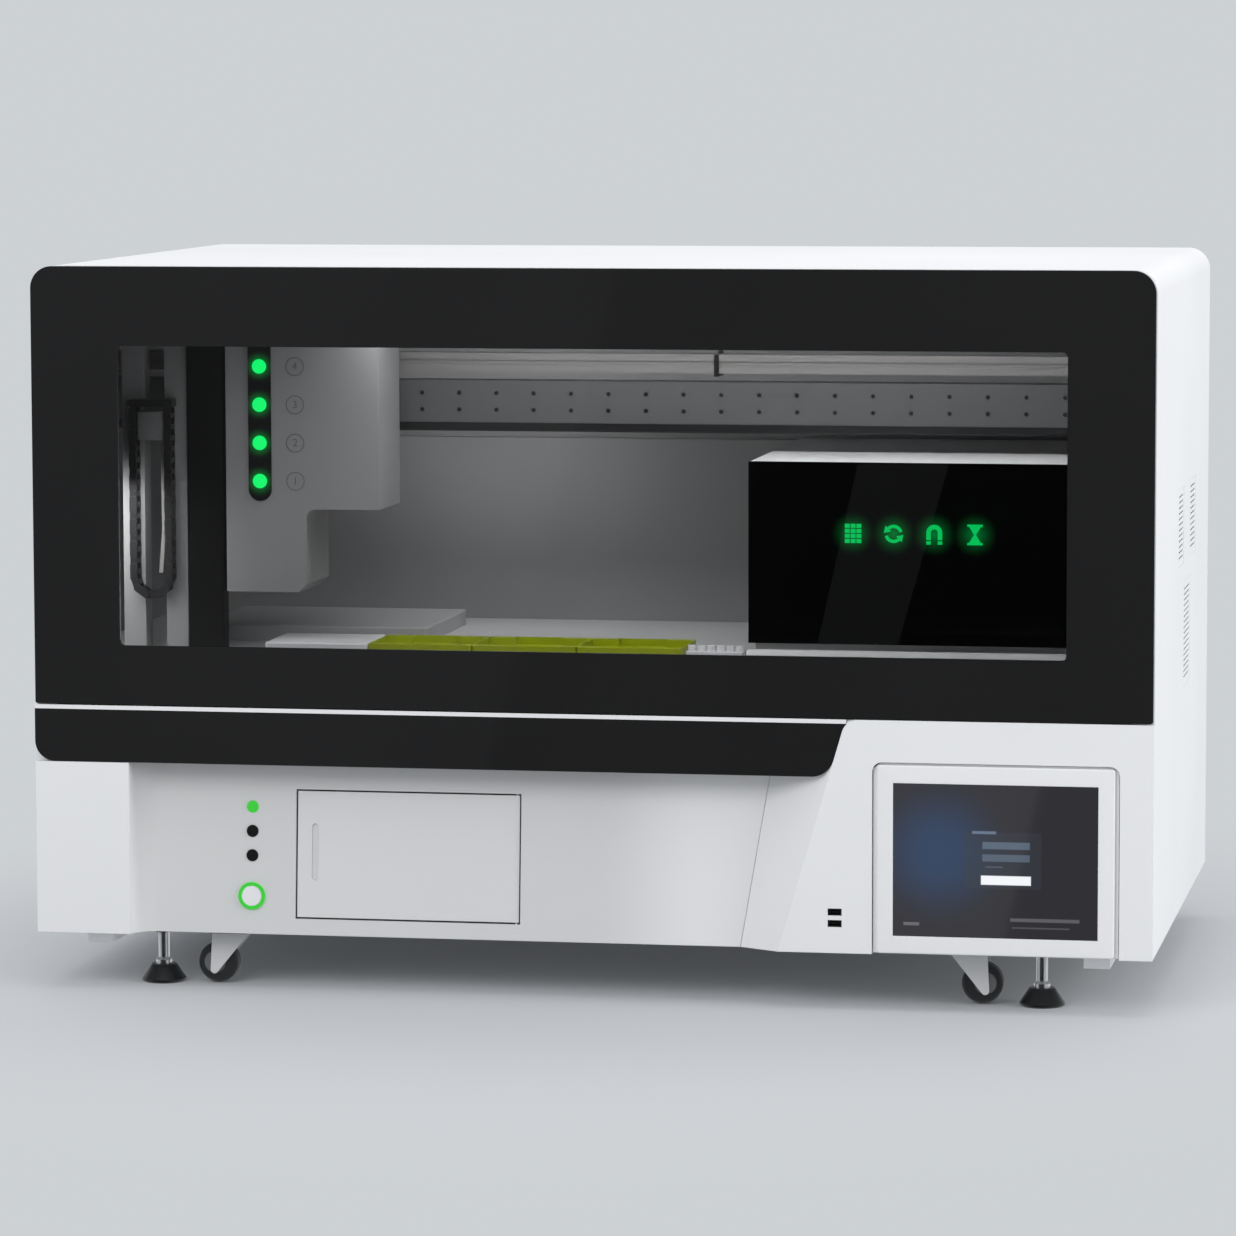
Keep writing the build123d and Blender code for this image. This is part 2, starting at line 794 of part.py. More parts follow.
# ================================================================ flip-up front door
door_inset = 1.0
door_bottom = up(door_bottom_height)
window_left = left_x + window_left_margin
window_right = right_x - window_right_margin
window_bottom = up(window_bottom_height)
window_top = case_top - window_top_margin
window_centre = ((window_left + window_right) / 2, (window_bottom + window_top) / 2)
window_size = (window_right - window_left, window_top - window_bottom)
window_radius = 6.0
window_clearance = 0.1
door_foot_radius = 3.0
hinge_places = [-hinge_spacing, 0.0, hinge_spacing]

with BuildPart() as door_border:
    with BuildSketch(facing(0)):
        with Locations((0, door_bottom)):
            Rectangle(
                case_width - 2 * door_inset,
                case_top - door_bottom,
                align=(Align.CENTER, Align.MIN),
            )
        fillet(vertices().group_by(Axis.Y)[-1], case_corner_radius - door_inset)
        fillet(vertices().group_by(Axis.Y)[0], door_foot_radius)
        with Locations(window_centre):
            RectangleRounded(*window_size, window_radius, mode=Mode.SUBTRACT)
    extrude(amount=-glass_thickness)
write(door_border, "door_border")

with BuildPart() as door_window:
    with BuildSketch(facing(0)):
        with Locations(window_centre):
            RectangleRounded(*(size - 2 * window_clearance for size in window_size), window_radius)
    extrude(amount=-glass_thickness)
write(door_window, "door_window")

# Rim bonded behind the glass: it enters the cover's opening. A lip fills the hinge notch.
rim_gap = 3.0
rim_right = right_x - flange_width - rim_gap
rim_low = crossbar_high + rim_gap
rim_high = cover_flange_top - rim_gap
lip_rear = hinge_setback + hinge_pin
with BuildPart() as door_frame:
    rim_rear = glass_thickness + door_rim_depth
    block((-rim_right, rim_right), (glass_thickness, rim_rear), (rim_low, rim_high))
    block(
        (-rim_right + door_rim_width, rim_right - door_rim_width),
        (0, rim_rear + 1),
        (rim_low + door_rim_width, rim_high - door_rim_width),
        mode=Mode.SUBTRACT,
    )
    lip_end_x = right_x - case_corner_radius - 4.0
    lip_stops = [-lip_end_x]
    for hinge_x in hinge_places:
        lip_stops += [hinge_x - hinge_length / 2 - rim_gap, hinge_x + hinge_length / 2 + rim_gap]
    lip_stops.append(lip_end_x)
    for lip_start, lip_end in zip(lip_stops[0::2], lip_stops[1::2]):
        block((lip_start, lip_end), (glass_thickness, lip_rear), (hinge_z + 1, case_top - slip))
write(door_frame, "door_frame")

# Three hinges in the notch: the door's outer knuckles carry the pin, the case has the middle one.
knuckle = hinge_length / 3
knuckle_width = knuckle - 0.5
leaf_thickness = 2.5
with BuildPart() as door_hinge_leaves:
    for hinge_x in hinge_places:
        for end in (-1, 1):
            with BuildSketch(side(hinge_x + end * knuckle - knuckle_width / 2)):
                with Locations((hinge_y, hinge_z)):
                    Circle(hinge_barrel / 2)
                Polygon(
                    (front_y + glass_thickness, notch_floor + 2.0),
                    (front_y + glass_thickness + leaf_thickness, notch_floor + 2.0),
                    (hinge_y, hinge_z - hinge_barrel / 2 + 1.0),
                    (hinge_y, hinge_z),
                    (front_y + glass_thickness, hinge_z + 3.0),
                    align=None,
                )
            extrude(amount=knuckle_width)
        with BuildSketch(side(hinge_x - hinge_length / 2)):
            with Locations((hinge_y, hinge_z)):
                Circle(hinge_pin / 2)
        extrude(amount=hinge_length)
write(door_hinge_leaves, "door_hinge_leaves")

with BuildPart() as case_hinge_leaves:
    for hinge_x in hinge_places:
        with BuildSketch(side(hinge_x - knuckle_width / 2)):
            with Locations((hinge_y, hinge_z)):
                Circle(hinge_barrel / 2)
            Polygon(
                (hinge_y, hinge_z - hinge_barrel / 2),
                (front_y + notch_rear, hinge_z - hinge_barrel / 2 - 2.0),
                (front_y + notch_rear, hinge_z + 2.0),
                (hinge_y, hinge_z + 1.0),
                align=None,
            )
            with Locations((hinge_y, hinge_z)):
                Circle(hinge_pin / 2 + running_clearance, mode=Mode.SUBTRACT)
        extrude(amount=knuckle_width)
write(case_hinge_leaves, "case_hinge_leaves")

# ================================================================ process chamber
deck_top = up(deck_height)
deck_low = deck_top - deck_thickness
chamber_right = right_x - cover_wall - chamber_side_gap
chamber_ceiling = case_top - chamber_top_gap
chamber_front = cover_front + cover_wall
with BuildPart() as chamber_liner:
    block(
        (-chamber_right - sheet, chamber_right + sheet),
        (chamber_front, chamber_back + sheet),
        (deck_low, chamber_ceiling + sheet),
    )
    block(
        (-chamber_right, chamber_right),
        (chamber_front - 1, chamber_back),
        (deck_low - 1, chamber_ceiling),
        mode=Mode.SUBTRACT,
    )
    # The back wall is doubled by a folded panel that ends in a lip under the gantry.
    panel_front = chamber_back - back_panel_depth
    panel_lip = up(back_panel_height)
    block((-chamber_right, chamber_right), (panel_front, chamber_back), (deck_top, panel_lip))
    block(
        (-chamber_right, chamber_right),
        (panel_front + sheet, chamber_back),
        (deck_top - 1, panel_lip - sheet),
        mode=Mode.SUBTRACT,
    )
write(chamber_liner, "chamber_liner")

# The deck hangs between the liner's walls, with a folded front edge.
deck_lip = 3.0
deck_fold = 14.0
sill_width = 15.0
sill_rear = front_y + module_front - 3.0
with BuildPart() as deck_plate:
    block((-chamber_right, chamber_right), (deck_front, chamber_back), (deck_low, deck_top))
    block(
        (-chamber_right, chamber_right),
        (deck_front, deck_front + deck_lip),
        (deck_low - deck_fold, deck_top),
    )
    chamfer(edges().filter_by(Axis.X).group_by(Axis.Z)[-1].sort_by(Axis.Y)[0], deck_lip / 2)
    # A stepped sill bar in front of the magnet module.
    with BuildSketch(side(module_left_x)):
        Polygon(
            (sill_rear - sill_width, deck_top),
            (sill_rear, deck_top),
            (sill_rear, deck_top + 2 * sill_height),
            (sill_rear - sill_width + sill_height, deck_top + 2 * sill_height),
            (sill_rear - sill_width, deck_top + sill_height),
            align=None,
        )
    extrude(amount=chamber_right - module_left_x)
write(deck_plate, "deck_plate")

# A light bar along the front of the ceiling, and a germ lamp tube between two holders.
light_front = 40.0
light_width = 24.0
light_height = 10.0
light_half_length = 450.0
tube_half_length = 310.0
tube_depth = 430.0
tube_radius = 8.0
light_edge = 4.0
holder_half = (9.0, 12.0)
holder_drop = 28.0
with BuildPart() as chamber_lights:
    block(
        (-light_half_length, light_half_length),
        (light_front, light_front + light_width),
        (chamber_ceiling - light_height, chamber_ceiling),
    )
    fillet(edges().filter_by(Axis.X).group_by(Axis.Z)[0], light_edge)
    for holder_x in (-tube_half_length, tube_half_length):
        block(
            (holder_x - holder_half[0], holder_x + holder_half[0]),
            (tube_depth - holder_half[1], tube_depth + holder_half[1]),
            (chamber_ceiling - holder_drop, chamber_ceiling),
        )
    with BuildSketch(side(-tube_half_length)):
        with Locations((front_y + tube_depth, chamber_ceiling - 2 * tube_radius)):
            Circle(tube_radius)
    extrude(amount=2 * tube_half_length)
write(chamber_lights, "chamber_lights")

# Plate carriers: shallow trays that locate one standard plate each, with finger room front and rear.
finger_width = 60.0
carrier_radius = 4.0
carrier_wall = 4.0
with BuildPart() as plate_carriers:
    for seat in range(1, carrier_count):
        centre_x = first_carrier_x + seat * carrier_pitch
        centre_y = front_y + carrier_front + carrier_depth / 2
        with BuildSketch(Plane.XY.offset(deck_top)):
            with Locations((centre_x, centre_y)):
                RectangleRounded(carrier_length, carrier_depth, carrier_radius)
        extrude(amount=carrier_height)
        with BuildSketch(Plane.XY.offset(deck_top + carrier_floor)):
            with Locations((centre_x, centre_y)):
                Rectangle(plate_length + plate_clearance, plate_width + plate_clearance)
                Rectangle(finger_width, carrier_depth - 2 * carrier_wall)
        extrude(amount=carrier_height, mode=Mode.SUBTRACT)
write(plate_carriers, "plate_carriers")

plate_bevel = 1.5
tray_radius = 6.0
with BuildPart() as blank_plate:
    with BuildSketch(Plane.XY.offset(deck_top)):
        with Locations((first_carrier_x, front_y + carrier_front + carrier_depth / 2)):
            RectangleRounded(carrier_length, carrier_depth, carrier_radius)
    extrude(amount=carrier_height)
    chamfer(faces().sort_by(Axis.Z)[-1].edges(), plate_bevel)
write(blank_plate, "blank_plate")

with BuildPart() as tray_box:
    with BuildSketch(Plane.XY.offset(deck_top)):
        with Locations((tray_left_x + tray_width / 2, front_y + tray_front + tray_depth / 2)):
            RectangleRounded(tray_width, tray_depth, tray_radius)
    extrude(amount=tray_height)
    chamfer(faces().sort_by(Axis.Z)[-1].edges(), plate_bevel)
write(tray_box, "tray_box")

# A strip of closed tubes in front of the module's left end.
rack_y = front_y + carrier_front + 20.0
rack_depth = 26.0
rack_height = 8.0
rack_radius = 3.0
cap_height = 7.0
with BuildPart() as tube_rack:
    with BuildSketch(Plane.XY.offset(deck_top)):
        with Locations((tube_rack_x, rack_y)):
            RectangleRounded(tube_pitch * tube_count, rack_depth, rack_radius)
    extrude(amount=rack_height)
    with BuildSketch(Plane.XY.offset(deck_top + rack_height)):
        with Locations((tube_rack_x, rack_y)):
            with GridLocations(tube_pitch, 0, tube_count, 1):
                Circle(tube_diameter / 2)
    extrude(amount=cap_height)
write(tube_rack, "tube_rack")

# ---------------------------------------------------------------- magnet module
module_foot = up(module_foot_height)
module_top = module_foot + module_height
module_side_gap = 4.0
module_corner = 3.0
module_glass_bevel = 0.8
module_right = chamber_right - module_side_gap
with BuildPart() as module_housing:
    block(
        (module_left_x, module_right),
        (module_front + module_glass_thickness, module_front + module_depth),
        (module_foot, module_top),
    )
    fillet(edges().filter_by(Axis.Y).group_by(Axis.Z)[-1], module_corner)
    block(
        (module_left_x + module_wall, module_right - module_wall),
        (module_front, module_front + module_depth - module_wall),
        (module_foot + module_wall, module_top - module_wall),
        mode=Mode.SUBTRACT,
    )
    block(
        (module_left_x + plinth_inset, module_right - plinth_inset),
        (module_front + plinth_inset, module_front + module_depth - plinth_inset),
        (deck_top, module_foot),
    )
write(module_housing, "module_housing")

with BuildPart() as module_glass:
    block(
        (module_left_x, module_right),
        (module_front, module_front + module_glass_thickness),
        (module_foot, module_top),
    )
    chamfer(faces().sort_by(Axis.Y)[0].edges(), module_glass_bevel)
write(module_glass, "module_glass")

# ---------------------------------------------------------------- gantry
beam_foot = up(beam_foot_height)
beam_top = beam_foot + beam_height
beam_columns = int(2 * chamber_right // beam_hole_pitch)
with BuildPart() as gantry_beam:
    block((-chamber_right, chamber_right), (beam_front, beam_front + beam_depth), (beam_foot, beam_top))
    block(
        (-chamber_right - 1, chamber_right + 1),
        (beam_front + beam_wall, beam_front + beam_depth - beam_wall),
        (beam_foot + beam_wall, beam_top - beam_wall),
        mode=Mode.SUBTRACT,
    )
    with BuildSketch(facing(beam_front)):
        with Locations((0, (beam_foot + beam_top) / 2)):
            with GridLocations(beam_hole_pitch, beam_row_gap, beam_columns, 2):
                Circle(beam_hole / 2)
    extrude(amount=-beam_hole_depth, mode=Mode.SUBTRACT)
write(gantry_beam, "gantry_beam")

upper_rail_depth = 25.0
rail_groove = 6.0
rail_foot = up(upper_rail_foot_height)
with BuildPart() as upper_rail:
    block(
        (-chamber_right, chamber_right),
        (beam_front, beam_front + upper_rail_depth),
        (rail_foot, rail_foot + upper_rail_height),
    )
    with BuildSketch(side(-chamber_right)):
        with Locations((front_y + beam_front, rail_foot + upper_rail_height / 2)):
            Rectangle(rail_groove, rail_groove)
    extrude(amount=2 * chamber_right, mode=Mode.SUBTRACT)
write(upper_rail, "upper_rail")

lower_rail_proud = 2.0
lower_rail_front = beam_front - lower_rail_proud
with BuildPart() as lower_rail:
    block(
        (-chamber_right, chamber_right),
        (lower_rail_front, lower_rail_front + lower_rail_depth),
        (beam_foot - lower_rail_height, beam_foot),
    )
    chamfer(edges().filter_by(Axis.X).group_by(Axis.Z)[0], lower_rail_proud)
write(lower_rail, "lower_rail")

# ---------------------------------------------------------------- pipetting head
leg_centre_x = head_left_x + head_leg_width / 2
carriage_front = lower_rail_front - slip - carriage_thickness
carriage_rear = carriage_front + carriage_thickness
carriage_inset = 30.0
carriage_drop = 16.0
carriage_x = (head_left_x + carriage_inset, head_left_x + head_width - carriage_inset)
arm_tip_gap = 4.0
arm_top_gap = 10.0
arm_low = up(head_top_height) - head_wall - arm_top_gap - arm_height
arm_high = arm_low + arm_height
arm_front = carriage_front - arm_reach
hook_low = rail_foot + upper_rail_height + slip
hook_thickness = 12.0
hook_reach = 32.0
hook_rear = beam_front + hook_reach
# A plate in front of the beam hooks over the upper rail; an arm reaches forward into the head.
with BuildPart() as x_carriage:
    block(
        carriage_x,
        (carriage_front, carriage_rear),
        (beam_foot - carriage_drop, hook_low + hook_thickness),
    )
    block(carriage_x, (carriage_front, hook_rear), (hook_low, hook_low + hook_thickness))
    arm_x = (leg_centre_x - arm_width / 2, leg_centre_x + arm_width / 2)
    block(arm_x, (arm_front + arm_tip_gap, carriage_rear), (hook_low, arm_high))
    block(
        (arm_x[0] - 1, arm_x[1] + 1),
        (arm_front, carriage_front),
        (hook_low - 1, arm_low),
        mode=Mode.SUBTRACT,
    )
write(x_carriage, "x_carriage")


def head_section(inset=0.0):
    """L-shaped outline of the head cover."""
    leg_right = head_left_x + head_leg_width - inset
    Polygon(
        (head_left_x + inset, up(head_leg_foot_height) + inset),
        (leg_right, up(head_leg_foot_height) + inset),
        (leg_right, up(head_foot_height) + inset),
        (head_left_x + head_width - inset, up(head_foot_height) + inset),
        (head_left_x + head_width - inset, up(head_top_height) - inset),
        (head_left_x + inset, up(head_top_height) - inset),
        align=None,
    )
    leg_side = vertices().sort_by_distance((leg_right, up(head_foot_height) + inset, 0))[0]
    fillet(leg_side, head_inner_radius + inset)
    leg_tip = vertices().sort_by_distance((leg_right, up(head_leg_foot_height) + inset, 0))[0]
    chamfer(leg_tip, head_chamfer - inset / 2)


nozzle_first = head_front + 22.0
nozzle_slot_gap = 3.0
nozzle_rise = 5.0
nozzle_places = [(leg_centre_x, front_y + nozzle_first + k * nozzle_pitch) for k in range(led_count)]
with BuildPart() as head_cover:
    with BuildSketch(facing(head_front)):
        head_section()
    extrude(amount=-head_depth)
    with BuildSketch(facing(head_front + head_wall)):
        head_section(head_wall)
    extrude(amount=-head_depth, mode=Mode.SUBTRACT)
    with BuildSketch(Plane.XY.offset(up(head_leg_foot_height) - 1)):
        with Locations((leg_centre_x, front_y + nozzle_first + 1.5 * nozzle_pitch)):
            slot_width = nozzle_body + 2 * nozzle_slot_gap
            Rectangle(slot_width, (led_count - 1) * nozzle_pitch + slot_width)
    extrude(amount=head_wall + 2, mode=Mode.SUBTRACT)
write(head_cover, "head_cover")

guide_low = up(head_leg_foot_height) + 18.0
guide_thickness = 6.0
hanger_setback = 15.0
hanger_thickness = 6.0
hanger_front = head_front + head_depth - hanger_setback
hanger_rear = hanger_front + hanger_thickness
hanger_top = arm_low - 8.0
saddle_depth = 47.0
saddle_wall = 12.0
saddle_floor = 10.0
with BuildPart() as head_frame:
    leg_inner = (head_left_x + head_wall, head_left_x + head_leg_width - head_wall)
    guide_front = head_front + head_wall + hanger_thickness
    block(leg_inner, (guide_front, hanger_rear), (guide_low, guide_low + guide_thickness))
    block(leg_inner, (hanger_front, hanger_rear), (guide_low, hanger_top))
    saddle_half = arm_width / 2 + saddle_wall
    block(
        (leg_centre_x - saddle_half, leg_centre_x + saddle_half),
        (hanger_rear - saddle_depth, hanger_rear),
        (arm_low - saddle_floor, up(head_top_height) - head_wall),
    )
    block(
        (leg_centre_x - arm_width / 2 - slip, leg_centre_x + arm_width / 2 + slip),
        (0, head_front + head_depth),
        (arm_low - slip, arm_low + arm_height + slip),
        mode=Mode.SUBTRACT,
    )
    with BuildSketch(Plane.XY.offset(guide_low)):
        with Locations(*nozzle_places):
            Circle(nozzle_rod / 2 + running_clearance)
    extrude(amount=guide_thickness, mode=Mode.SUBTRACT)
write(head_frame, "head_frame")

strip_x = head_left_x + led_strip_inset
led_top_height = head_top_height - 20.0
led_strip_thickness = 2.0
led_stand = 2.0
led_edge = 1.4
with BuildPart() as led_strip:
    with BuildSketch(facing(head_front - led_strip_thickness)):
        with Locations((strip_x, (up(led_strip_foot_height) + up(led_top_height)) / 2)):
            SlotOverall(led_top_height - led_strip_foot_height, led_strip_width, rotation=90)
    extrude(amount=-led_strip_thickness)
write(led_strip, "led_strip")

with BuildPart() as led_lenses:
    with BuildSketch(facing(head_front - led_strip_thickness)):
        for k in range(led_count):
            with Locations((strip_x, up(led_first_height) + k * led_pitch)):
                Circle(led_diameter / 2)
    extrude(amount=led_stand)
    fillet(edges().filter_by(GeomType.CIRCLE).group_by(Axis.Y)[0], led_edge)
write(led_lenses, "led_lenses")

# Four channels: a drive body, a rod through the guide plate and a tapered tip cone.
shoulder = guide_low + guide_thickness + nozzle_travel + 1.0
nozzle_taper = 4.0
nozzle_body_length = 80.0
for channel, (nozzle_x, nozzle_y) in enumerate(nozzle_places, start=1):
    with BuildPart() as nozzle:
        with BuildSketch(Plane(origin=(nozzle_x, nozzle_y, 0), x_dir=(1, 0, 0), z_dir=(0, -1, 0))):
            Polygon(
                (0, up(head_leg_foot_height) + nozzle_rise),
                (nozzle_tip / 2, up(head_leg_foot_height) + nozzle_rise),
                (nozzle_rod / 2, guide_low - nozzle_taper),
                (nozzle_rod / 2, shoulder),
                (nozzle_body / 2, shoulder + nozzle_taper),
                (nozzle_body / 2, shoulder + nozzle_body_length),
                (0, shoulder + nozzle_body_length),
                align=None,
            )
        revolve(axis=Axis((nozzle_x, nozzle_y, 0), (0, 0, 1)))
    write(nozzle, f"nozzle_{channel}")

# ---------------------------------------------------------------- left column and cable chain
post_groove = (8.0, 12.0)
panel_side_gap = 2.0
panel_radius = 3.0
panel_proud = 8.0
with BuildPart() as column_posts:
    for post_x in (post_first_x, post_first_x + post_width + post_gap):
        with BuildSketch(Plane.XY.offset(deck_top)):
            with Locations((post_x + post_width / 2, front_y + column_front + post_depth / 2)):
                Rectangle(post_width, post_depth)
            with Locations((post_x + post_width / 2, front_y + column_front + post_depth)):
                Rectangle(*post_groove, mode=Mode.SUBTRACT)
        extrude(amount=chamber_ceiling - deck_top)
write(column_posts, "column_posts")

with BuildPart() as column_panel:
    panel_x = post_first_x + 2 * post_width + post_gap + panel_side_gap
    panel_face = column_front - panel_proud
    block(
        (panel_x, panel_x + panel_width),
        (panel_face, panel_face + panel_depth),
        (deck_top, chamber_ceiling),
    )
    fillet(edges().filter_by(Axis.Z).group_by(Axis.Y)[0], panel_radius)
write(column_panel, "column_panel")

# Drag chain: links overlap at shared pin lines along a hanging U.
bend_arc = pi * chain_bend_radius
left_run = up(chain_top_height) - up(chain_low_height)
chain_length = 2 * left_run + bend_arc
link_count = round(chain_length / chain_pitch)
link_length = chain_length / link_count
link_overhang = chain_height / 2 - 0.6


def chain_point(travel):
    """Point on the chain's centre line after a distance along it, in X and Z."""
    if travel <= left_run:
        return (chain_x - chain_bend_radius, up(chain_top_height) - travel)
    if travel <= left_run + bend_arc:
        turn = (travel - left_run) / chain_bend_radius
        sideways, down = chain_bend_radius * cos(turn), chain_bend_radius * sin(turn)
        return (chain_x - sideways, up(chain_low_height) - down)
    return (chain_x + chain_bend_radius, up(chain_low_height) + travel - left_run - bend_arc)


chain_stand = 2.0
chain_mid = column_front - chain_width / 2 - chain_stand
chain_bracket_margin = 6.0
chain_bracket_height = 9.0
with BuildPart() as cable_chain:
    for link in range(link_count):
        start = Vector(*chain_point(link * link_length))
        end = Vector(*chain_point((link + 1) * link_length))
        along = (end - start).normalized()
        middle = (start + end) / 2
        link_plane = Plane(
            origin=(middle.X, front_y + chain_mid, middle.Y),
            x_dir=(along.X, 0, along.Y),
            z_dir=(0, -1, 0),
        )
        outer = link % 2 == 0
        inner_face = chain_width / 2 - (chain_cheek if outer else 2 * chain_cheek + 0.1)
        reach = link_length / 2 + link_overhang
        for cheek in (-1, 1):
            with BuildSketch(link_plane.offset(cheek * inner_face)):
                Rectangle(2 * reach, chain_height)
                chamfer(vertices(), chain_height / 4)
            extrude(amount=cheek * chain_cheek)
        with BuildSketch(link_plane.offset(-inner_face)):
            with Locations((0, (chain_height - chain_cheek) / 2), (0, (chain_cheek - chain_height) / 2)):
                Rectangle(link_length - chain_height + 1.0, chain_cheek)
        extrude(amount=2 * inner_face)
    # End bracket on the posts.
    chain_end_z = up(chain_top_height) + link_overhang
    block(
        (
            chain_x - chain_bend_radius - chain_bracket_margin,
            chain_x + chain_bend_radius + chain_bracket_margin,
        ),
        (chain_mid - chain_width / 2, column_front),
        (chain_end_z, chain_end_z + chain_bracket_height),
    )
write(cable_chain, "cable_chain")

# ================================================================ feet and casters
with BuildPart() as foot_nuts:
    with BuildSketch(Plane.XY.offset(case_bottom - foot_nut_height)):
        with Locations(*foot_places):
            RegularPolygon(foot_nut_size / 2, 6, major_radius=False)
            Circle(foot_stud / 2 + running_clearance, mode=Mode.SUBTRACT)
    extrude(amount=foot_nut_height)
write(foot_nuts, "foot_nuts")

pad_rim = 4.0
pad_edge = 1.5
crown_edge = 2.0
collar_taper = 3.0
corner_names = ("front_left", "front_right", "rear_left", "rear_right")
for name, (x, y) in zip(corner_names, foot_places):
    with BuildPart() as foot:
        with BuildSketch(Plane(origin=(x, y, 0), x_dir=(1, 0, 0), z_dir=(0, -1, 0))):
            Polygon(
                (0, 0),
                (foot_pad_diameter / 2 - pad_edge, 0),
                (foot_pad_diameter / 2, pad_edge),
                (foot_pad_diameter / 2, pad_rim),
                (foot_pad_crown / 2, foot_pad_height - crown_edge),
                (foot_pad_crown / 2 - crown_edge, foot_pad_height),
                (foot_collar / 2, foot_pad_height),
                (foot_collar / 2, foot_pad_height + foot_collar_height - collar_taper),
                (foot_stud / 2, foot_pad_height + foot_collar_height),
                (foot_stud / 2, foot_stud_length),
                (0, foot_stud_length),
                align=None,
            )
        revolve(axis=Axis((x, y, 0), (0, 0, 1)))
    write(foot, f"foot_{name}")

plate_low = case_bottom - caster_plate_thickness
wheel_z = wheel_diameter / 2 + wheel_lift
king_pin = 8.0
caster_plate_radius = 5.0
wheel_side_gap = 1.0
tip_lead = 4.0
tyre_edge = 2.5
with BuildPart() as caster_plates:
    with BuildSketch(Plane.XY.offset(plate_low)):
        with Locations(*caster_places):
            RectangleRounded(caster_plate, caster_plate, caster_plate_radius)
            Circle(king_pin / 2 + running_clearance, mode=Mode.SUBTRACT)
    extrude(amount=caster_plate_thickness)
write(caster_plates, "caster_plates")

for name, (x, y) in zip(corner_names, caster_places):
    way = 1 if x > 0 else -1
    axle_x = x + way * caster_trail
    fork_gap = wheel_width / 2 + wheel_side_gap
    fork_half = fork_gap + fork_wall
    crown_high = plate_low - slip
    crown_low = crown_high - fork_wall
    with BuildPart() as fork:
        # A folded crown carries the king pin.
        with BuildSketch(Plane.XY.offset(crown_low)):
            with Locations((x, y)):
                Rectangle(fork_width, 2 * fork_half)
        extrude(amount=fork_wall)
        with BuildSketch(Plane.XY.offset(crown_low)):
            with Locations((x, y)):
                Circle(king_pin / 2)
        extrude(amount=case_bottom - slip - crown_low)
        # Two triangular cheeks run from the crown down past the axle.
        for cheek_front in (y - fork_half, y + fork_gap):
            with BuildSketch(Plane(origin=(0, cheek_front, 0), x_dir=(1, 0, 0), z_dir=(0, -1, 0))):
                with Locations((axle_x + way * tip_lead, wheel_z - fork_tip_reach)):
                    Circle(fork_tip_radius)
                with Locations((x, crown_high - fork_wall / 2)):
                    Rectangle(fork_width, fork_wall)
                make_hull()
            extrude(amount=-fork_wall)
        with BuildSketch(Plane(origin=(0, y - fork_gap - 0.5, 0), x_dir=(1, 0, 0), z_dir=(0, -1, 0))):
            with Locations((axle_x, wheel_z)):
                Circle(wheel_axle / 2)
        extrude(amount=-(2 * fork_gap + 1.0))
    write(fork, f"fork_{name}")
    with BuildPart() as wheel:
        with BuildSketch(Plane(origin=(axle_x, y, wheel_z), x_dir=(0, 1, 0), z_dir=(1, 0, 0))):
            Polygon(
                (-wheel_width / 2, wheel_axle / 2 + running_clearance),
                (wheel_width / 2, wheel_axle / 2 + running_clearance),
                (wheel_width / 2, wheel_diameter / 2 - tyre_edge),
                (wheel_width / 2 - tyre_edge, wheel_diameter / 2),
                (tyre_edge - wheel_width / 2, wheel_diameter / 2),
                (-wheel_width / 2, wheel_diameter / 2 - tyre_edge),
                align=None,
            )
        revolve(axis=Axis((axle_x, y, wheel_z), (0, 1, 0)))
    write(wheel, f"wheel_{name}")

# ================================================================ rear fittings
socket_width = 24.0
socket_tall = 16.5
socket_depth = 17.0
rocker_well_width = rocker_width - 3.0
rocker_well_tall = rocker_tall - 2.0
rocker_well_depth = 12.0
inlet_flange = 3.0
inlet_flange_edges = (6.0, 5.0)
inlet_flange_radius = 2.0
inlet_body_depth = 24.0
inlet_clearance = 0.2
blade_pitch = 7.0
blade_step = 2.0
blade_size = (2.0, 4.0)
blade_length = 14.0
panel_rear = rear_panel_depth + sheet
with BuildPart() as mains_inlet:
    for fitting_z, wide, tall, well_width, well_tall, well_depth in (
        (inlet_z, inlet_width, inlet_tall, socket_width, socket_tall, socket_depth),
        (rocker_z, rocker_width, rocker_tall, rocker_well_width, rocker_well_tall, rocker_well_depth),
    ):
        with BuildSketch(facing(panel_rear)):
            with Locations((inlet_x, fitting_z)):
                RectangleRounded(
                    wide + inlet_flange_edges[0],
                    tall + inlet_flange_edges[1],
                    inlet_flange_radius,
                )
        extrude(amount=-inlet_flange)
        with BuildSketch(facing(panel_rear - inlet_body_depth)):
            with Locations((inlet_x, fitting_z)):
                Rectangle(wide - 2 * inlet_clearance, tall - 2 * inlet_clearance)
        extrude(amount=-inlet_body_depth)
        with BuildSketch(facing(panel_rear + inlet_flange)):
            with Locations((inlet_x, fitting_z)):
                Rectangle(well_width, well_tall)
        extrude(amount=well_depth, mode=Mode.SUBTRACT)
    # Three blades stand in the socket, the middle one lower.
    with BuildSketch(facing(panel_rear - blade_length)):
        with Locations(
            (inlet_x - blade_pitch, inlet_z + blade_step),
            (inlet_x, inlet_z - blade_step),
            (inlet_x + blade_pitch, inlet_z + blade_step),
        ):
            Rectangle(*blade_size)
    extrude(amount=-blade_length)
write(mains_inlet, "mains_inlet")

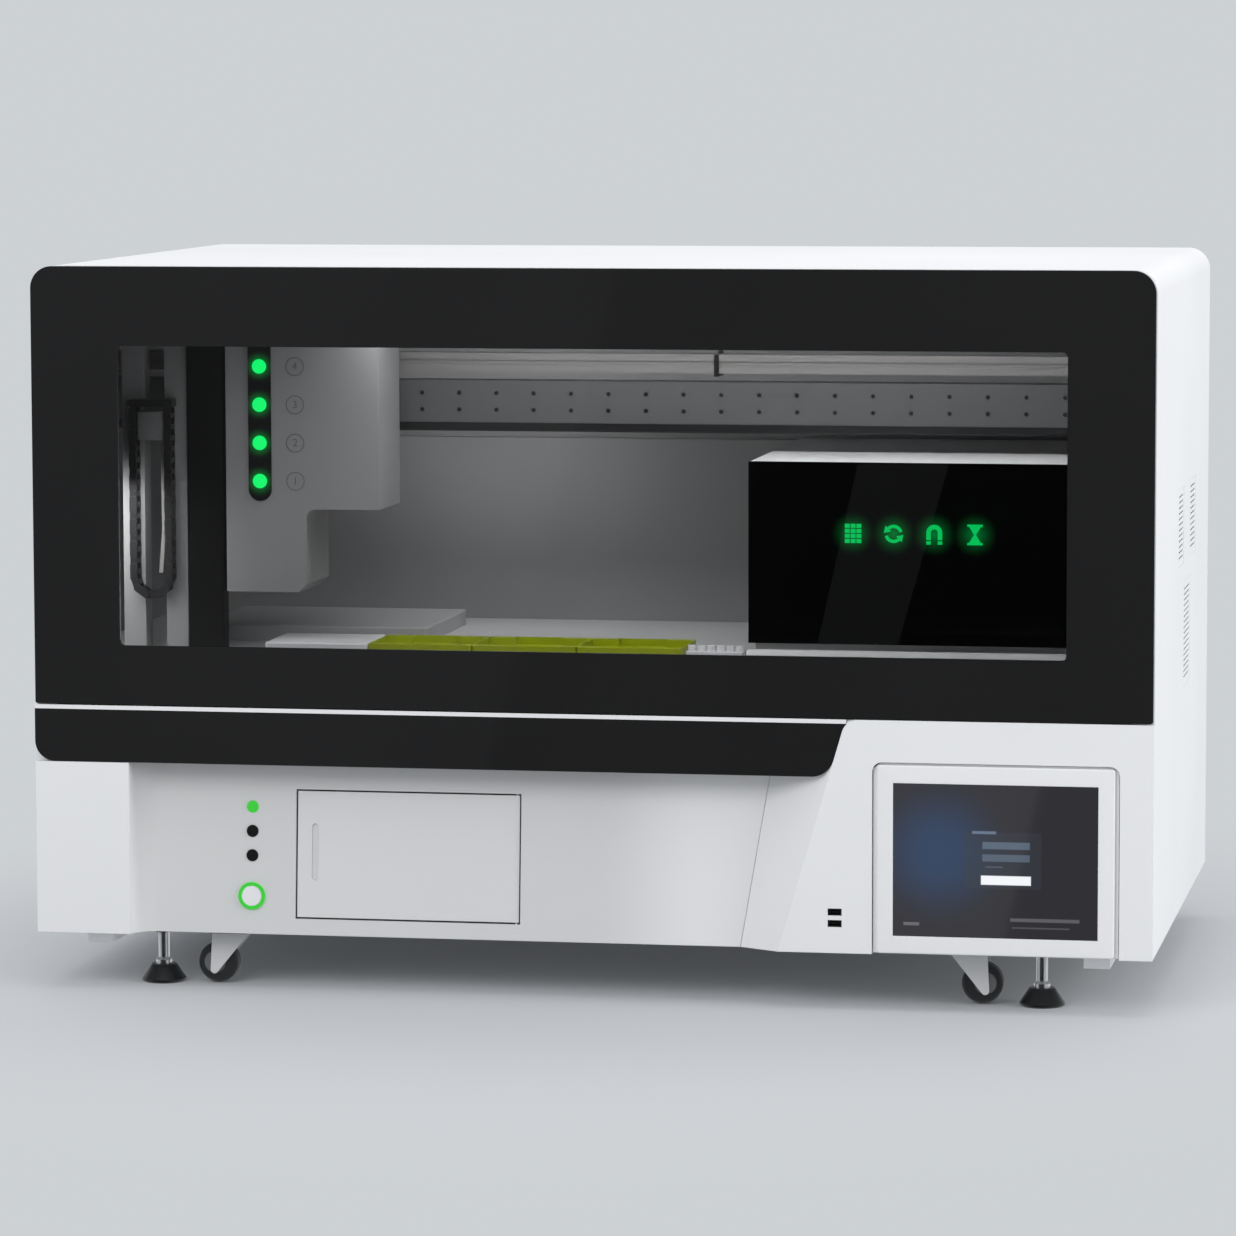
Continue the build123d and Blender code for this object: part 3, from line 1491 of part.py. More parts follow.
# The rocker turns on a pin that runs across its cavity.
rocker_tilt = 8.0
rocker_half = 7.0
rocker_length = rocker_tall - 3.0
rocker_depth = panel_rear - 3.0
rocker_pin_radius = 2.0
with BuildPart() as mains_rocker:
    with BuildSketch(Plane.XY.offset(rocker_z - rocker_length / 2)):
        with Locations(Location((inlet_x, front_y + rocker_depth, 0), (0, 0, rocker_tilt))):
            Polygon(
                (-rocker_half, 1.0),
                (rocker_half, 1.0),
                (rocker_half, 4.5),
                (0, 3.2),
                (-rocker_half, 4.5),
                align=None,
            )
        with Locations((inlet_x, front_y + rocker_depth)):
            Circle(rocker_pin_radius)
    extrude(amount=rocker_length)
write(mains_rocker, "mains_rocker")
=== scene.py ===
import math
import bmesh
import bpy
from mathutils import Matrix, Vector


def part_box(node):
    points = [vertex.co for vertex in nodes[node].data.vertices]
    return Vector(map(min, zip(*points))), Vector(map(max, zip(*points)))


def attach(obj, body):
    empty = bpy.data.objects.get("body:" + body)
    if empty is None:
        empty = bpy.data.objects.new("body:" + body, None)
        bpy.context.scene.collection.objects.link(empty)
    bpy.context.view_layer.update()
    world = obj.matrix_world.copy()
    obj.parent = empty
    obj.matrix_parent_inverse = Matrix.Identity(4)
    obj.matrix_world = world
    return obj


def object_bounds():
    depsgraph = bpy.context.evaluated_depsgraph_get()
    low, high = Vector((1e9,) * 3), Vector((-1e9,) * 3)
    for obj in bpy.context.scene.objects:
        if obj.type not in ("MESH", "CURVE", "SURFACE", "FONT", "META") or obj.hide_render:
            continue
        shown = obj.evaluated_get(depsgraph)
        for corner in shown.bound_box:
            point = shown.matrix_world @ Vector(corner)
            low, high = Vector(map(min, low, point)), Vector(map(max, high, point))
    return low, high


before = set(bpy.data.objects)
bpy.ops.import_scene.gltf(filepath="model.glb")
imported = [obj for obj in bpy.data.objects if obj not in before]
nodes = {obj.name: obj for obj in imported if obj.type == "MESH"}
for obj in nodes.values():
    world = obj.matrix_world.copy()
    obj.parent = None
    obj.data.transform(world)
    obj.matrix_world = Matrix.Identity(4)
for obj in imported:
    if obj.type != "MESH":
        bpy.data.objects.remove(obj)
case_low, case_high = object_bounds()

scene = bpy.context.scene
scene.view_settings.view_transform = "Standard"


# ---------------------------------------------------------------- studio
# A pale seamless floor and backdrop, with soft boxes overhead, at the left front and at the right.
# A dark curtain keeps the black glass black, and slanted cards put a faint sheen on it.
backdrop_grey = (0.610, 0.637, 0.658)
camera_place = (1.2291, -6.8933, 1.1346)
camera_yaw = 0.181324
camera_pitch = 0.100284
camera_roll = -0.002373
lens_mm = 159.45

camera_data = bpy.data.cameras.new("studio_camera")
camera_data.lens = lens_mm
camera_data.sensor_width = 36.0
camera_data.clip_end = 60.0
camera = bpy.data.objects.new("studio_camera", camera_data)
turn = Matrix.Rotation(camera_yaw, 4, "Z") @ Matrix.Rotation(math.pi / 2 - camera_pitch, 4, "X")
camera.matrix_world = Matrix.Translation(camera_place) @ turn @ Matrix.Rotation(camera_roll, 4, "Z")
scene.collection.objects.link(camera)
scene.camera = camera


def shader_of(name):
    """A new material with its node tree and its Principled shader."""
    material = bpy.data.materials.new(name)
    material.use_nodes = True
    tree = material.node_tree
    return material, tree, tree.nodes["Principled BSDF"]


def set_sockets(shader, **values):
    """Constants on the shader's own sockets; a name's underscores stand for spaces."""
    for name, value in values.items():
        shader.inputs[name.replace("_", " ")].default_value = value


world = bpy.data.worlds.new("studio_world")
scene.world = world
world.use_nodes = True
world_tree = world.node_tree
sky = world_tree.nodes["Background"]
sky.inputs["Color"].default_value = (0.80, 0.82, 0.85, 1)
sky.inputs["Strength"].default_value = 0.62
plain = world_tree.nodes.new("ShaderNodeBackground")
plain.inputs["Color"].default_value = (*backdrop_grey, 1)
rays = world_tree.nodes.new("ShaderNodeLightPath")
seen = world_tree.nodes.new("ShaderNodeMath")
seen.operation = "MAXIMUM"
straight = world_tree.nodes.new("ShaderNodeMath")
straight.operation = "MAXIMUM"
choose = world_tree.nodes.new("ShaderNodeMixShader")
world_tree.links.new(rays.outputs["Is Camera Ray"], seen.inputs[0])
world_tree.links.new(rays.outputs["Is Transmission Ray"], seen.inputs[1])
world_tree.links.new(seen.outputs[0], straight.inputs[0])
world_tree.links.new(rays.outputs["Is Glossy Ray"], straight.inputs[1])
world_tree.links.new(straight.outputs[0], choose.inputs["Fac"])
world_tree.links.new(sky.outputs[0], choose.inputs[1])
world_tree.links.new(plain.outputs[0], choose.inputs[2])
world_tree.links.new(choose.outputs[0], world_tree.nodes["World Output"].inputs["Surface"])

# The floor near the machine takes its shadow, and fades into the backdrop's grey further out.
floor_near = 0.6
floor_away_all = 1.6
floor_least = 0.02
floor_mesh = bmesh.new()
bmesh.ops.create_grid(floor_mesh, x_segments=1, y_segments=1, size=14.0)
floor_data = bpy.data.meshes.new("studio_floor")
floor_mesh.to_mesh(floor_data)
floor_mesh.free()
floor = bpy.data.objects.new("studio_floor", floor_data)
floor.visible_glossy = False
floor.visible_transmission = False
scene.collection.objects.link(floor)
floor_paint, floor_tree, floor_shader = shader_of("studio_floor_paint")
set_sockets(floor_shader, Base_Color=(0.58, 0.595, 0.612, 1), Roughness=0.75, Specular_IOR_Level=0.1)
floor_place = floor_tree.nodes.new("ShaderNodeTexCoord")
floor_wide = floor_tree.nodes.new("ShaderNodeVectorMath")
floor_wide.operation = "MULTIPLY"
floor_wide.inputs[1].default_value = (1.2, 1.0, 1.0)
floor_away = floor_tree.nodes.new("ShaderNodeVectorMath")
floor_away.operation = "LENGTH"
floor_fade = floor_tree.nodes.new("ShaderNodeMapRange")
floor_fade.inputs["From Min"].default_value = floor_near
floor_fade.inputs["From Max"].default_value = floor_away_all
floor_fade.inputs["To Min"].default_value = floor_least
floor_fade.interpolation_type = "SMOOTHSTEP"
floor_far = floor_tree.nodes.new("ShaderNodeEmission")
floor_far.inputs["Color"].default_value = (*backdrop_grey, 1)
floor_mix = floor_tree.nodes.new("ShaderNodeMixShader")
floor_tree.links.new(floor_place.outputs["Object"], floor_wide.inputs[0])
floor_tree.links.new(floor_wide.outputs[0], floor_away.inputs[0])
floor_tree.links.new(floor_away.outputs["Value"], floor_fade.inputs["Value"])
floor_tree.links.new(floor_fade.outputs["Result"], floor_mix.inputs["Fac"])
floor_tree.links.new(floor_shader.outputs[0], floor_mix.inputs[1])
floor_tree.links.new(floor_far.outputs[0], floor_mix.inputs[2])
floor_tree.links.new(floor_mix.outputs[0], floor_tree.nodes["Material Output"].inputs["Surface"])
floor_data.materials.append(floor_paint)


def soft_box(name, place, target, size, watts, colour=(1, 1, 1)):
    """Rectangular studio lamp that looks at a target."""
    lamp_data = bpy.data.lights.new(name, "AREA")
    lamp_data.shape = "RECTANGLE"
    lamp_data.size, lamp_data.size_y = size
    lamp_data.energy = watts
    lamp_data.color = colour
    lamp = bpy.data.objects.new(name, lamp_data)
    lamp.matrix_world = Matrix.Translation(place) @ (
        (Vector(target) - Vector(place)).to_track_quat("-Z", "Y").to_matrix().to_4x4()
    )
    lamp.visible_camera = False
    lamp.visible_glossy = False
    lamp.visible_transmission = False
    scene.collection.objects.link(lamp)
    return lamp


soft_box("overhead_box", (0.2, 0.1, 3.6), (0, 0, 0.4), (4.2, 3.2), 62)
soft_box("front_fill", (-1.6, -4.4, 3.0), (0, -0.4, 0.45), (3.2, 2.2), 84)
soft_box("right_fill", (4.6, -1.4, 1.5), (0.6, 0, 0.45), (2.4, 2.4), 108)


def studio_card(name, corners, strength):
    """A flat card that only mirrors and glass can see; corners are in order round its edge."""
    card_mesh = bmesh.new()
    card_mesh.faces.new([card_mesh.verts.new(corner) for corner in corners])
    card_data = bpy.data.meshes.new(name)
    card_mesh.to_mesh(card_data)
    card_mesh.free()
    card = bpy.data.objects.new(name, card_data)
    scene.collection.objects.link(card)
    paint, tree, shader = shader_of(name + "_paint")
    set_sockets(shader, Base_Color=(0, 0, 0, 1), Emission_Color=(0.95, 0.97, 1.0, 1),
                Emission_Strength=strength)
    card_data.materials.append(paint)
    card.visible_camera = False
    card.visible_diffuse = False
    card.visible_shadow = False
    return card


def mirrored(x, z, distance):
    """Where a sight line that meets the front glass at x, z arrives after its reflection."""
    sight = Vector((x, case_low.y, z)) - Vector(camera_place)
    run = distance / sight.y
    return Vector((x + sight.x * run, case_low.y - distance, z + sight.z * run))


card_away = 2.6
curtain_half = 9
curtain_y = -9.2
curtain_foot = -4
curtain_top = 9
studio_card(
    "dark_curtain",
    [(-curtain_half, curtain_y, curtain_foot), (curtain_half, curtain_y, curtain_foot),
     (curtain_half, curtain_y, curtain_top), (-curtain_half, curtain_y, curtain_top)],
    0.0,
)
studio_card(
    "dark_floor",
    [(-curtain_half, curtain_y, curtain_foot), (curtain_half, curtain_y, curtain_foot),
     (curtain_half, -0.44, -0.6), (-curtain_half, -0.44, -0.6)],
    0.0,
)
studio_card(
    "glare_card",
    [mirrored(-1.2, 0.30, card_away), mirrored(-0.128, 0.26, card_away),
     mirrored(0.052, 0.93, card_away), mirrored(-1.2, 0.98, card_away)],
    0.06,
)
studio_card(
    "screen_card",
    [mirrored(0.34, 0.07, card_away), mirrored(0.508, 0.07, card_away),
     mirrored(0.560, 0.30, card_away), mirrored(0.34, 0.30, card_away)],
    0.36,
)
chamber_card_y = -0.396
studio_card(
    "chamber_card",
    [(0.24, chamber_card_y, 0.39), (0.34, chamber_card_y, 0.39),
     (0.415, chamber_card_y, 0.66), (0.30, chamber_card_y, 0.66)],
    0.13,
).visible_transmission = False


# ---------------------------------------------------------------- white steel cover and rear panel
# One wrapped sheet of mild steel, 2.5 mm, bent over the roof and powder coated satin white. The
# vents are punched before coating. The rear panel is the same sheet, screwed into the opening
# with zinc-plated pan heads.
screw_head = 0.0045
screw_height = 0.0018
screw_recess = 0.0017
screw_columns = (-0.62, -0.31, 0.0, 0.31, 0.62)
screw_rows = (0.105, 0.860)


def grain_group():
    """Fine surface grain: an even speckle, a slow cloud, both in object space."""
    group = bpy.data.node_groups.new("surface_grain", "ShaderNodeTree")
    group.interface.new_socket("Grain Scale", in_out="INPUT", socket_type="NodeSocketFloat")
    group.interface.new_socket("Cloud Scale", in_out="INPUT", socket_type="NodeSocketFloat")
    group.interface.new_socket("Stretch", in_out="INPUT", socket_type="NodeSocketVector")
    group.interface.new_socket("Grain", in_out="OUTPUT", socket_type="NodeSocketFloat")
    group.interface.new_socket("Cloud", in_out="OUTPUT", socket_type="NodeSocketFloat")
    given = group.nodes.new("NodeGroupInput")
    result = group.nodes.new("NodeGroupOutput")
    place = group.nodes.new("ShaderNodeTexCoord")
    stretched = group.nodes.new("ShaderNodeVectorMath")
    stretched.operation = "MULTIPLY"
    grain = group.nodes.new("ShaderNodeTexNoise")
    grain.inputs["Detail"].default_value = 3.0
    cloud = group.nodes.new("ShaderNodeTexNoise")
    cloud.inputs["Detail"].default_value = 4.0
    join = group.links.new
    join(place.outputs["Object"], stretched.inputs[0])
    join(given.outputs["Stretch"], stretched.inputs[1])
    join(stretched.outputs[0], grain.inputs["Vector"])
    join(given.outputs["Grain Scale"], grain.inputs["Scale"])
    join(place.outputs["Object"], cloud.inputs["Vector"])
    join(given.outputs["Cloud Scale"], cloud.inputs["Scale"])
    join(grain.outputs["Fac"], result.inputs["Grain"])
    join(cloud.outputs["Fac"], result.inputs["Cloud"])
    return group


surface_grain = grain_group()


def coated(name, light, dark, grain=900.0, cloud=3.0, stretch=(1, 1, 1), rough=(0.4, 0.5),
           height=0.00004, edge=0.0, **sockets):
    """Finish with grain in its height and roughness and a slow drift between two colours."""
    material, tree, shader = shader_of(name)
    join = tree.links.new
    surface = tree.nodes.new("ShaderNodeGroup")
    surface.node_tree = surface_grain
    surface.inputs["Grain Scale"].default_value = grain
    surface.inputs["Cloud Scale"].default_value = cloud
    surface.inputs["Stretch"].default_value = stretch
    blend = tree.nodes.new("ShaderNodeMix")
    blend.name = "drift"
    blend.data_type = "RGBA"
    blend.inputs["A"].default_value = (*dark, 1)
    blend.inputs["B"].default_value = (*light, 1)
    drift = tree.nodes.new("ShaderNodeMapRange")
    drift.inputs["From Min"].default_value = 0.35
    drift.inputs["From Max"].default_value = 0.65
    gloss = tree.nodes.new("ShaderNodeMapRange")
    gloss.inputs["To Min"].default_value = rough[0]
    gloss.inputs["To Max"].default_value = rough[1]
    join(surface.outputs["Cloud"], drift.inputs["Value"])
    join(drift.outputs["Result"], blend.inputs["Factor"])
    join(blend.outputs["Result"], shader.inputs["Base Color"])
    join(surface.outputs["Grain"], gloss.inputs["Value"])
    join(gloss.outputs["Result"], shader.inputs["Roughness"])
    if height:
        bump = tree.nodes.new("ShaderNodeBump")
        bump.inputs["Distance"].default_value = height
        bump.inputs["Strength"].default_value = 0.6
        join(surface.outputs["Grain"], bump.inputs["Height"])
        join(bump.outputs["Normal"], shader.inputs["Normal"])
        if edge:
            rounded = tree.nodes.new("ShaderNodeBevel")
            rounded.samples = 4
            rounded.inputs["Radius"].default_value = edge
            join(rounded.outputs["Normal"], bump.inputs["Normal"])
    set_sockets(shader, **sockets)
    return material


def soften(thing):
    """Weld an object's facets and shade its curved faces smoothly, with crisp edges kept."""
    thing.data.polygons.foreach_set("use_smooth", [True] * len(thing.data.polygons))
    weld = thing.modifiers.new("weld", "WELD")
    weld.merge_threshold = 0.00001
    split = thing.modifiers.new("edges", "EDGE_SPLIT")
    split.split_angle = math.radians(28)


def dress(material, *names, smooth=True):
    """Give CAD nodes a finish."""
    for name in names:
        node = nodes[name]
        node.data.materials.clear()
        node.data.materials.append(material)
        if smooth:
            soften(node)


def finished(name, shape, material, body):
    """Make a shape an object with its finish, riding on a body."""
    bmesh.ops.recalc_face_normals(shape, faces=shape.faces)
    data = bpy.data.meshes.new(name)
    shape.to_mesh(data)
    shape.free()
    data.materials.append(material)
    made = bpy.data.objects.new(name, data)
    scene.collection.objects.link(made)
    soften(made)
    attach(made, body)
    return made


powder_white = coated("powder_coat_white", (0.86, 0.86, 0.865), (0.83, 0.83, 0.84), grain=1400.0,
                      rough=(0.34, 0.46), height=0.00003, edge=0.001)
dress(powder_white, "outer_cover", "rear_panel")
zinc = coated("zinc_plate", (0.60, 0.60, 0.61), (0.50, 0.50, 0.51), grain=500.0, rough=(0.25, 0.4),
              Metallic=1.0)
rear_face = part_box("rear_panel")[1].y
screws = bmesh.new()
for screw_x in screw_columns:
    for screw_z in screw_rows:
        centre = Vector((screw_x, rear_face + screw_height / 2, screw_z))
        laid = Matrix.Translation(centre) @ Matrix.Rotation(-math.pi / 2, 4, "X")
        made = bmesh.ops.create_cone(
            screws, cap_ends=True, segments=24, radius1=screw_head, radius2=0.7 * screw_head,
            depth=screw_height, matrix=laid,
        )
        top = max((face for vert in made["verts"] for face in vert.link_faces),
                  key=lambda face: face.calc_center_median().y)
        bmesh.ops.inset_region(screws, faces=[top], thickness=0.7 * screw_head - screw_recess)
        bmesh.ops.translate(screws, verts=top.verts, vec=(0, -0.6 * screw_height, 0))
finished("panel_screws", screws, zinc, "case")

# ---------------------------------------------------------------- white mouldings
# Injection-moulded fronts: the recessed lower front, the screen housing, the service door, the
# screen bezel and the button cap. Satin, a fine spark-eroded texture, clipped to the case.
moulded_white = coated("moulded_white", (0.845, 0.845, 0.85), (0.82, 0.82, 0.83), grain=2200.0, cloud=2.0,
                       rough=(0.38, 0.5), height=0.00002, edge=0.0012)
dress(moulded_white, "screen_housing", "screen_bezel")
# Painted shade: the service door gets a greyer copy of the moulded white, for the shade of the recess it sits
# in.
painted_shade_white = coated("painted_shade_white", (0.72, 0.72, 0.725), (0.70, 0.70, 0.705), grain=2200.0, cloud=2.0,
                      rough=(0.42, 0.54), height=0.00002, edge=0.0012)
dress(painted_shade_white, "service_door")
# Painted shade: the fascia's recess is painted greyer than its front block, as the shade under the strip, and
# this painted shade clears towards the screen.
painted_recess_shade = (0.665, 0.665, 0.67)
painted_shade_starts = (-0.416, -0.398)
painted_shade_clears = (0.00, 0.15)
fascia_white_painted_shade = coated("fascia_white_painted_shade", (0.845, 0.845, 0.85), (0.82, 0.82, 0.83), grain=2200.0, cloud=2.0,
                      rough=(0.38, 0.5), height=0.00002, edge=0.0012)
fascia_tree = fascia_white_painted_shade.node_tree
fascia_place = fascia_tree.nodes.new("ShaderNodeTexCoord")
fascia_parts = fascia_tree.nodes.new("ShaderNodeSeparateXYZ")
fascia_shade_deep = fascia_tree.nodes.new("ShaderNodeMapRange")
fascia_shade_deep.inputs["From Min"].default_value, fascia_shade_deep.inputs["From Max"].default_value = painted_shade_starts
fascia_shade_left = fascia_tree.nodes.new("ShaderNodeMapRange")
fascia_shade_left.interpolation_type = "SMOOTHSTEP"
fascia_shade_left.inputs["From Min"].default_value, fascia_shade_left.inputs["From Max"].default_value = painted_shade_clears
fascia_shade_left.inputs["To Min"].default_value = 1.0
fascia_shade_left.inputs["To Max"].default_value = 0.1
fascia_shade_mask = fascia_tree.nodes.new("ShaderNodeMath")
fascia_shade_mask.operation = "MULTIPLY"
fascia_shade_paint = fascia_tree.nodes.new("ShaderNodeMix")
fascia_shade_paint.data_type = "RGBA"
fascia_shade_paint.inputs["B"].default_value = (*painted_recess_shade, 1)
join = fascia_tree.links.new
join(fascia_place.outputs["Object"], fascia_parts.inputs[0])
join(fascia_parts.outputs["Y"], fascia_shade_deep.inputs["Value"])
join(fascia_parts.outputs["X"], fascia_shade_left.inputs["Value"])
join(fascia_shade_deep.outputs["Result"], fascia_shade_mask.inputs[0])
join(fascia_shade_left.outputs["Result"], fascia_shade_mask.inputs[1])
join(fascia_shade_mask.outputs[0], fascia_shade_paint.inputs["Factor"])
join(fascia_tree.nodes["drift"].outputs["Result"], fascia_shade_paint.inputs["A"])
join(fascia_shade_paint.outputs["Result"], fascia_tree.nodes["Principled BSDF"].inputs["Base Color"])
dress(fascia_white_painted_shade, "lower_fascia")
dress(zinc, "service_box")

# ---------------------------------------------------------------- black glass and clear pane
# The door's border and the module's front are sheets of glass, printed black from behind, with
# polished edges. The strip under the door is moulded to match and lacquered. The clear pane is
# the unprinted part of the door's sheet.
pane_dust_scale = 400.0
pane_haze_most = 0.02
glass_black = coated("printed_glass_black", (0.0160, 0.0160, 0.0164), (0.0148, 0.0148, 0.0152), grain=60.0,
                     cloud=4.0, rough=(0.03, 0.06), height=0.0)
dress(glass_black, "door_border", "lower_strip")
pane, pane_tree, pane_shader = shader_of("clear_pane")
set_sockets(pane_shader, Base_Color=(0.93, 0.94, 0.95, 1), Transmission_Weight=1.0, IOR=1.45)
pane_dust = pane_tree.nodes.new("ShaderNodeGroup")
pane_dust.node_tree = surface_grain
pane_dust.inputs["Grain Scale"].default_value = pane_dust_scale
pane_dust.inputs["Cloud Scale"].default_value = 5.0
pane_dust.inputs["Stretch"].default_value = (1, 1, 1)
pane_haze = pane_tree.nodes.new("ShaderNodeMapRange")
pane_haze.inputs["From Min"].default_value = 0.45
pane_haze.inputs["From Max"].default_value = 0.9
pane_haze.inputs["To Max"].default_value = pane_haze_most
pane_tree.links.new(pane_dust.outputs["Cloud"], pane_haze.inputs["Value"])
pane_tree.links.new(pane_haze.outputs["Result"], pane_shader.inputs["Roughness"])
dress(pane, "door_window", smooth=False)

# ---------------------------------------------------------------- silver line
# A drawn aluminium strip, satin anodised, pressed into the joint under the door.
silver = coated("anodised_silver", (0.96, 0.96, 0.97), (0.92, 0.92, 0.93), grain=300.0, stretch=(0.02, 1, 1),
                rough=(0.28, 0.42), height=0.00001, Metallic=0.15)
dress(silver, "trim_line")

# ---------------------------------------------------------------- door frame and hinges
# A black-painted steel frame bonded to the glass from behind, with zinc-plated hinge leaves.
black_satin = coated("black_satin", (0.012, 0.012, 0.013), (0.008, 0.008, 0.009), grain=900.0,
                     rough=(0.35, 0.5), height=0.00003)
dress(black_satin, "door_frame")
dress(zinc, "case_hinge_leaves", "door_hinge_leaves")

# ---------------------------------------------------------------- chamber
# Folded steel liner, painted mid grey, with a brushed stainless deck and a folded tray. A lamp
# bar and a tube, both opal, hang under the roof. Four small soft boxes light the inside.
chamber_grey = coated("chamber_paint", (0.185, 0.185, 0.188), (0.165, 0.165, 0.168), grain=900.0,
                      rough=(0.4, 0.52), height=0.00003)
dress(chamber_grey, "chamber_liner")
tray_paint = coated("tray_paint", (0.32, 0.32, 0.325), (0.29, 0.29, 0.295), grain=900.0, rough=(0.36, 0.46),
                    height=0.00003)
dress(tray_paint, "tray_box")
deck_steel = coated("deck_steel", (0.52, 0.52, 0.525), (0.47, 0.47, 0.475), grain=300.0, stretch=(0.04, 1, 1),
                    rough=(0.3, 0.45), height=0.00001, Metallic=0.15)
dress(deck_steel, "deck_plate")
lamp_white = coated("opal_lamp", (0.85, 0.86, 0.88), (0.80, 0.81, 0.83), Emission_Color=(0.9, 0.95, 1, 1),
                    Emission_Strength=0.6)
dress(lamp_white, "chamber_lights")
soft_box("chamber_lamp", (0.16, -0.33, 0.845), (0.16, -0.05, 0.42), (0.88, 0.05), 2.6)
soft_box("chamber_fill", (-0.15, -0.396, 0.60), (-0.15, 0.10, 0.60), (0.80, 0.30), 0.56)
soft_box("column_fill", (-0.61, -0.335, 0.56), (-0.61, -0.15, 0.42), (0.08, 0.14), 0.36)
soft_box("wall_lamp", (-0.20, -0.05, 0.672), (-0.17, 0.162, 0.56), (0.32, 0.04), 0.50)

# ---------------------------------------------------------------- gantry
# The cross beam is an extruded aluminium box with two rows of tapped holes and a ground rail
# above it; the rail below it is painted black, as painted shade of the dark gap under the beam. A black
# stop clamps round the upper rail, thin enough for the carriage to pass, and its flag stands behind the rail.
stop_x = 0.111
stop_width = 0.006
stop_wall = 0.004
stop_proud = 0.0016
flag_setback = 0.008
flag_height = 0.020
hole_shade_columns = 28
hole_shade_pitch = 0.048
hole_shade_row_half = 0.0105
hole_shade_radius = 0.0028
hole_shade_length = 0.0018
hole_shade_deep = 0.0022
drawn_metal = coated("drawn_aluminium", (0.095, 0.097, 0.10), (0.085, 0.087, 0.09), grain=350.0,
                     stretch=(0.03, 1, 1), rough=(0.32, 0.46), height=0.00001, Metallic=0.3)
dress(drawn_metal, "gantry_beam", "x_carriage", "head_frame")
rail_steel = coated("ground_rail", (0.20, 0.194, 0.191), (0.18, 0.175, 0.172), grain=350.0,
                    stretch=(0.03, 1, 1), rough=(0.3, 0.4), height=0.00001, Metallic=0.3)
dress(rail_steel, "upper_rail")
# Painted shade: the lower rail is black satin, for the dark gap under the beam.
dress(black_satin, "lower_rail")


def slab(shape, low, high, bevel=0.0):
    """A box between two corners, its edges broken by a bevel."""
    low, high = Vector(low), Vector(high)
    place = Matrix.Translation((low + high) / 2) @ Matrix.Diagonal((*(high - low), 1))
    made = bmesh.ops.create_cube(shape, size=1.0, matrix=place)
    if bevel:
        edges = list(dict.fromkeys(edge for vert in made["verts"] for edge in vert.link_edges))
        bmesh.ops.bevel(shape, geom=edges, offset=bevel, segments=2, profile=0.5, affect="EDGES",
                        material=-1)


rail_low, rail_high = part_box("upper_rail")
flag_y = (rail_high.y + flag_setback, rail_high.y + flag_setback + stop_wall)
stops = bmesh.new()
stop_end = stop_x + stop_width
stop_front = rail_low.y - stop_proud
slab(stops, (stop_x, stop_front, rail_low.z - stop_wall), (stop_end, flag_y[1], rail_low.z), 0.0006)
slab(stops, (stop_x, stop_front, rail_low.z), (stop_end, rail_low.y, rail_high.z), 0.0004)
slab(stops, (stop_x, flag_y[0], rail_low.z), (stop_end, flag_y[1], rail_high.z + flag_height), 0.0006)
finished("rail_stops", stops, black_satin, "case")

# Painted shade: a black disc sits just inside each tapped hole of the beam, to darken the hole as its shade.
beam_low, beam_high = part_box("gantry_beam")
hole_shades = bmesh.new()
for column in range(hole_shade_columns):
    for hole_shade_z in (-hole_shade_row_half, hole_shade_row_half):
        hole_shade_x = (column - (hole_shade_columns - 1) / 2) * hole_shade_pitch
        centre = Vector((hole_shade_x, beam_low.y + hole_shade_deep - hole_shade_length / 2,
                         (beam_low.z + beam_high.z) / 2 + hole_shade_z))
        bmesh.ops.create_cone(hole_shades, cap_ends=True, segments=20, radius1=hole_shade_radius, radius2=hole_shade_radius,
                              depth=hole_shade_length,
                              matrix=Matrix.Translation(centre) @ Matrix.Rotation(math.pi / 2, 4, "X"))
finished("beam_hole_shades", hole_shades, black_satin, "case")

# ---------------------------------------------------------------- left column and cable chain
# Two drawn aluminium posts and a black panel beside them; the panel's near-black paint is painted shade, for
# the deep shade between the column and the head.
# The moulded nylon chain hangs from a folded bracket, with a steel tongue inside its loop that keeps it off
# the posts.
bracket_x = (-0.5935, -0.5600)
bracket_z = (0.672, 0.708)
bracket_thickness = 0.020
tongue_line = ((-0.5665, 0.674), (-0.5655, 0.560), (-0.5700, 0.505))
tongue_width = 0.005
tongue_thickness = 0.0012
post_metal = coated("post_aluminium", (0.30, 0.30, 0.305), (0.27, 0.27, 0.275), grain=350.0,
                    stretch=(1, 1, 0.03), rough=(0.35, 0.46), height=0.00001, Metallic=0.2)
dress(post_metal, "column_posts")
chain_nylon = coated("chain_nylon", (0.016, 0.016, 0.017), (0.011, 0.011, 0.012), grain=1200.0,
                     rough=(0.3, 0.42), height=0.00003)
dress(chain_nylon, "cable_chain")
# Painted shade: the column panel is near-black, blacker than the other black parts, for the shade beside the
# column.
dress(coated("panel_black_painted_shade", (0.003, 0.003, 0.003), (0.002, 0.002, 0.002), rough=(0.5, 0.6)), "column_panel")
post_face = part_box("column_posts")[0].y
bracket = bmesh.new()
slab(bracket, (bracket_x[0], post_face - bracket_thickness, bracket_z[0]),
     (bracket_x[1], post_face, bracket_z[1]), 0.002)
finished("chain_bracket", bracket, chamber_grey, "case")
tongue = bmesh.new()
tongue_front = post_face - 0.4 * bracket_thickness
tongue_verts = [tongue.verts.new((x, tongue_front, z)) for x, z in tongue_line]
tongue_edges = [tongue.edges.new(pair) for pair in zip(tongue_verts, tongue_verts[1:])]
widened = bmesh.ops.extrude_edge_only(tongue, edges=tongue_edges)
moved = [item for item in widened["geom"] if isinstance(item, bmesh.types.BMVert)]
bmesh.ops.translate(tongue, verts=moved, vec=(tongue_width, 0, 0))
bmesh.ops.solidify(tongue, geom=tongue.faces[:], thickness=tongue_thickness)
finished("chain_tongue", tongue, rail_steel, "case")

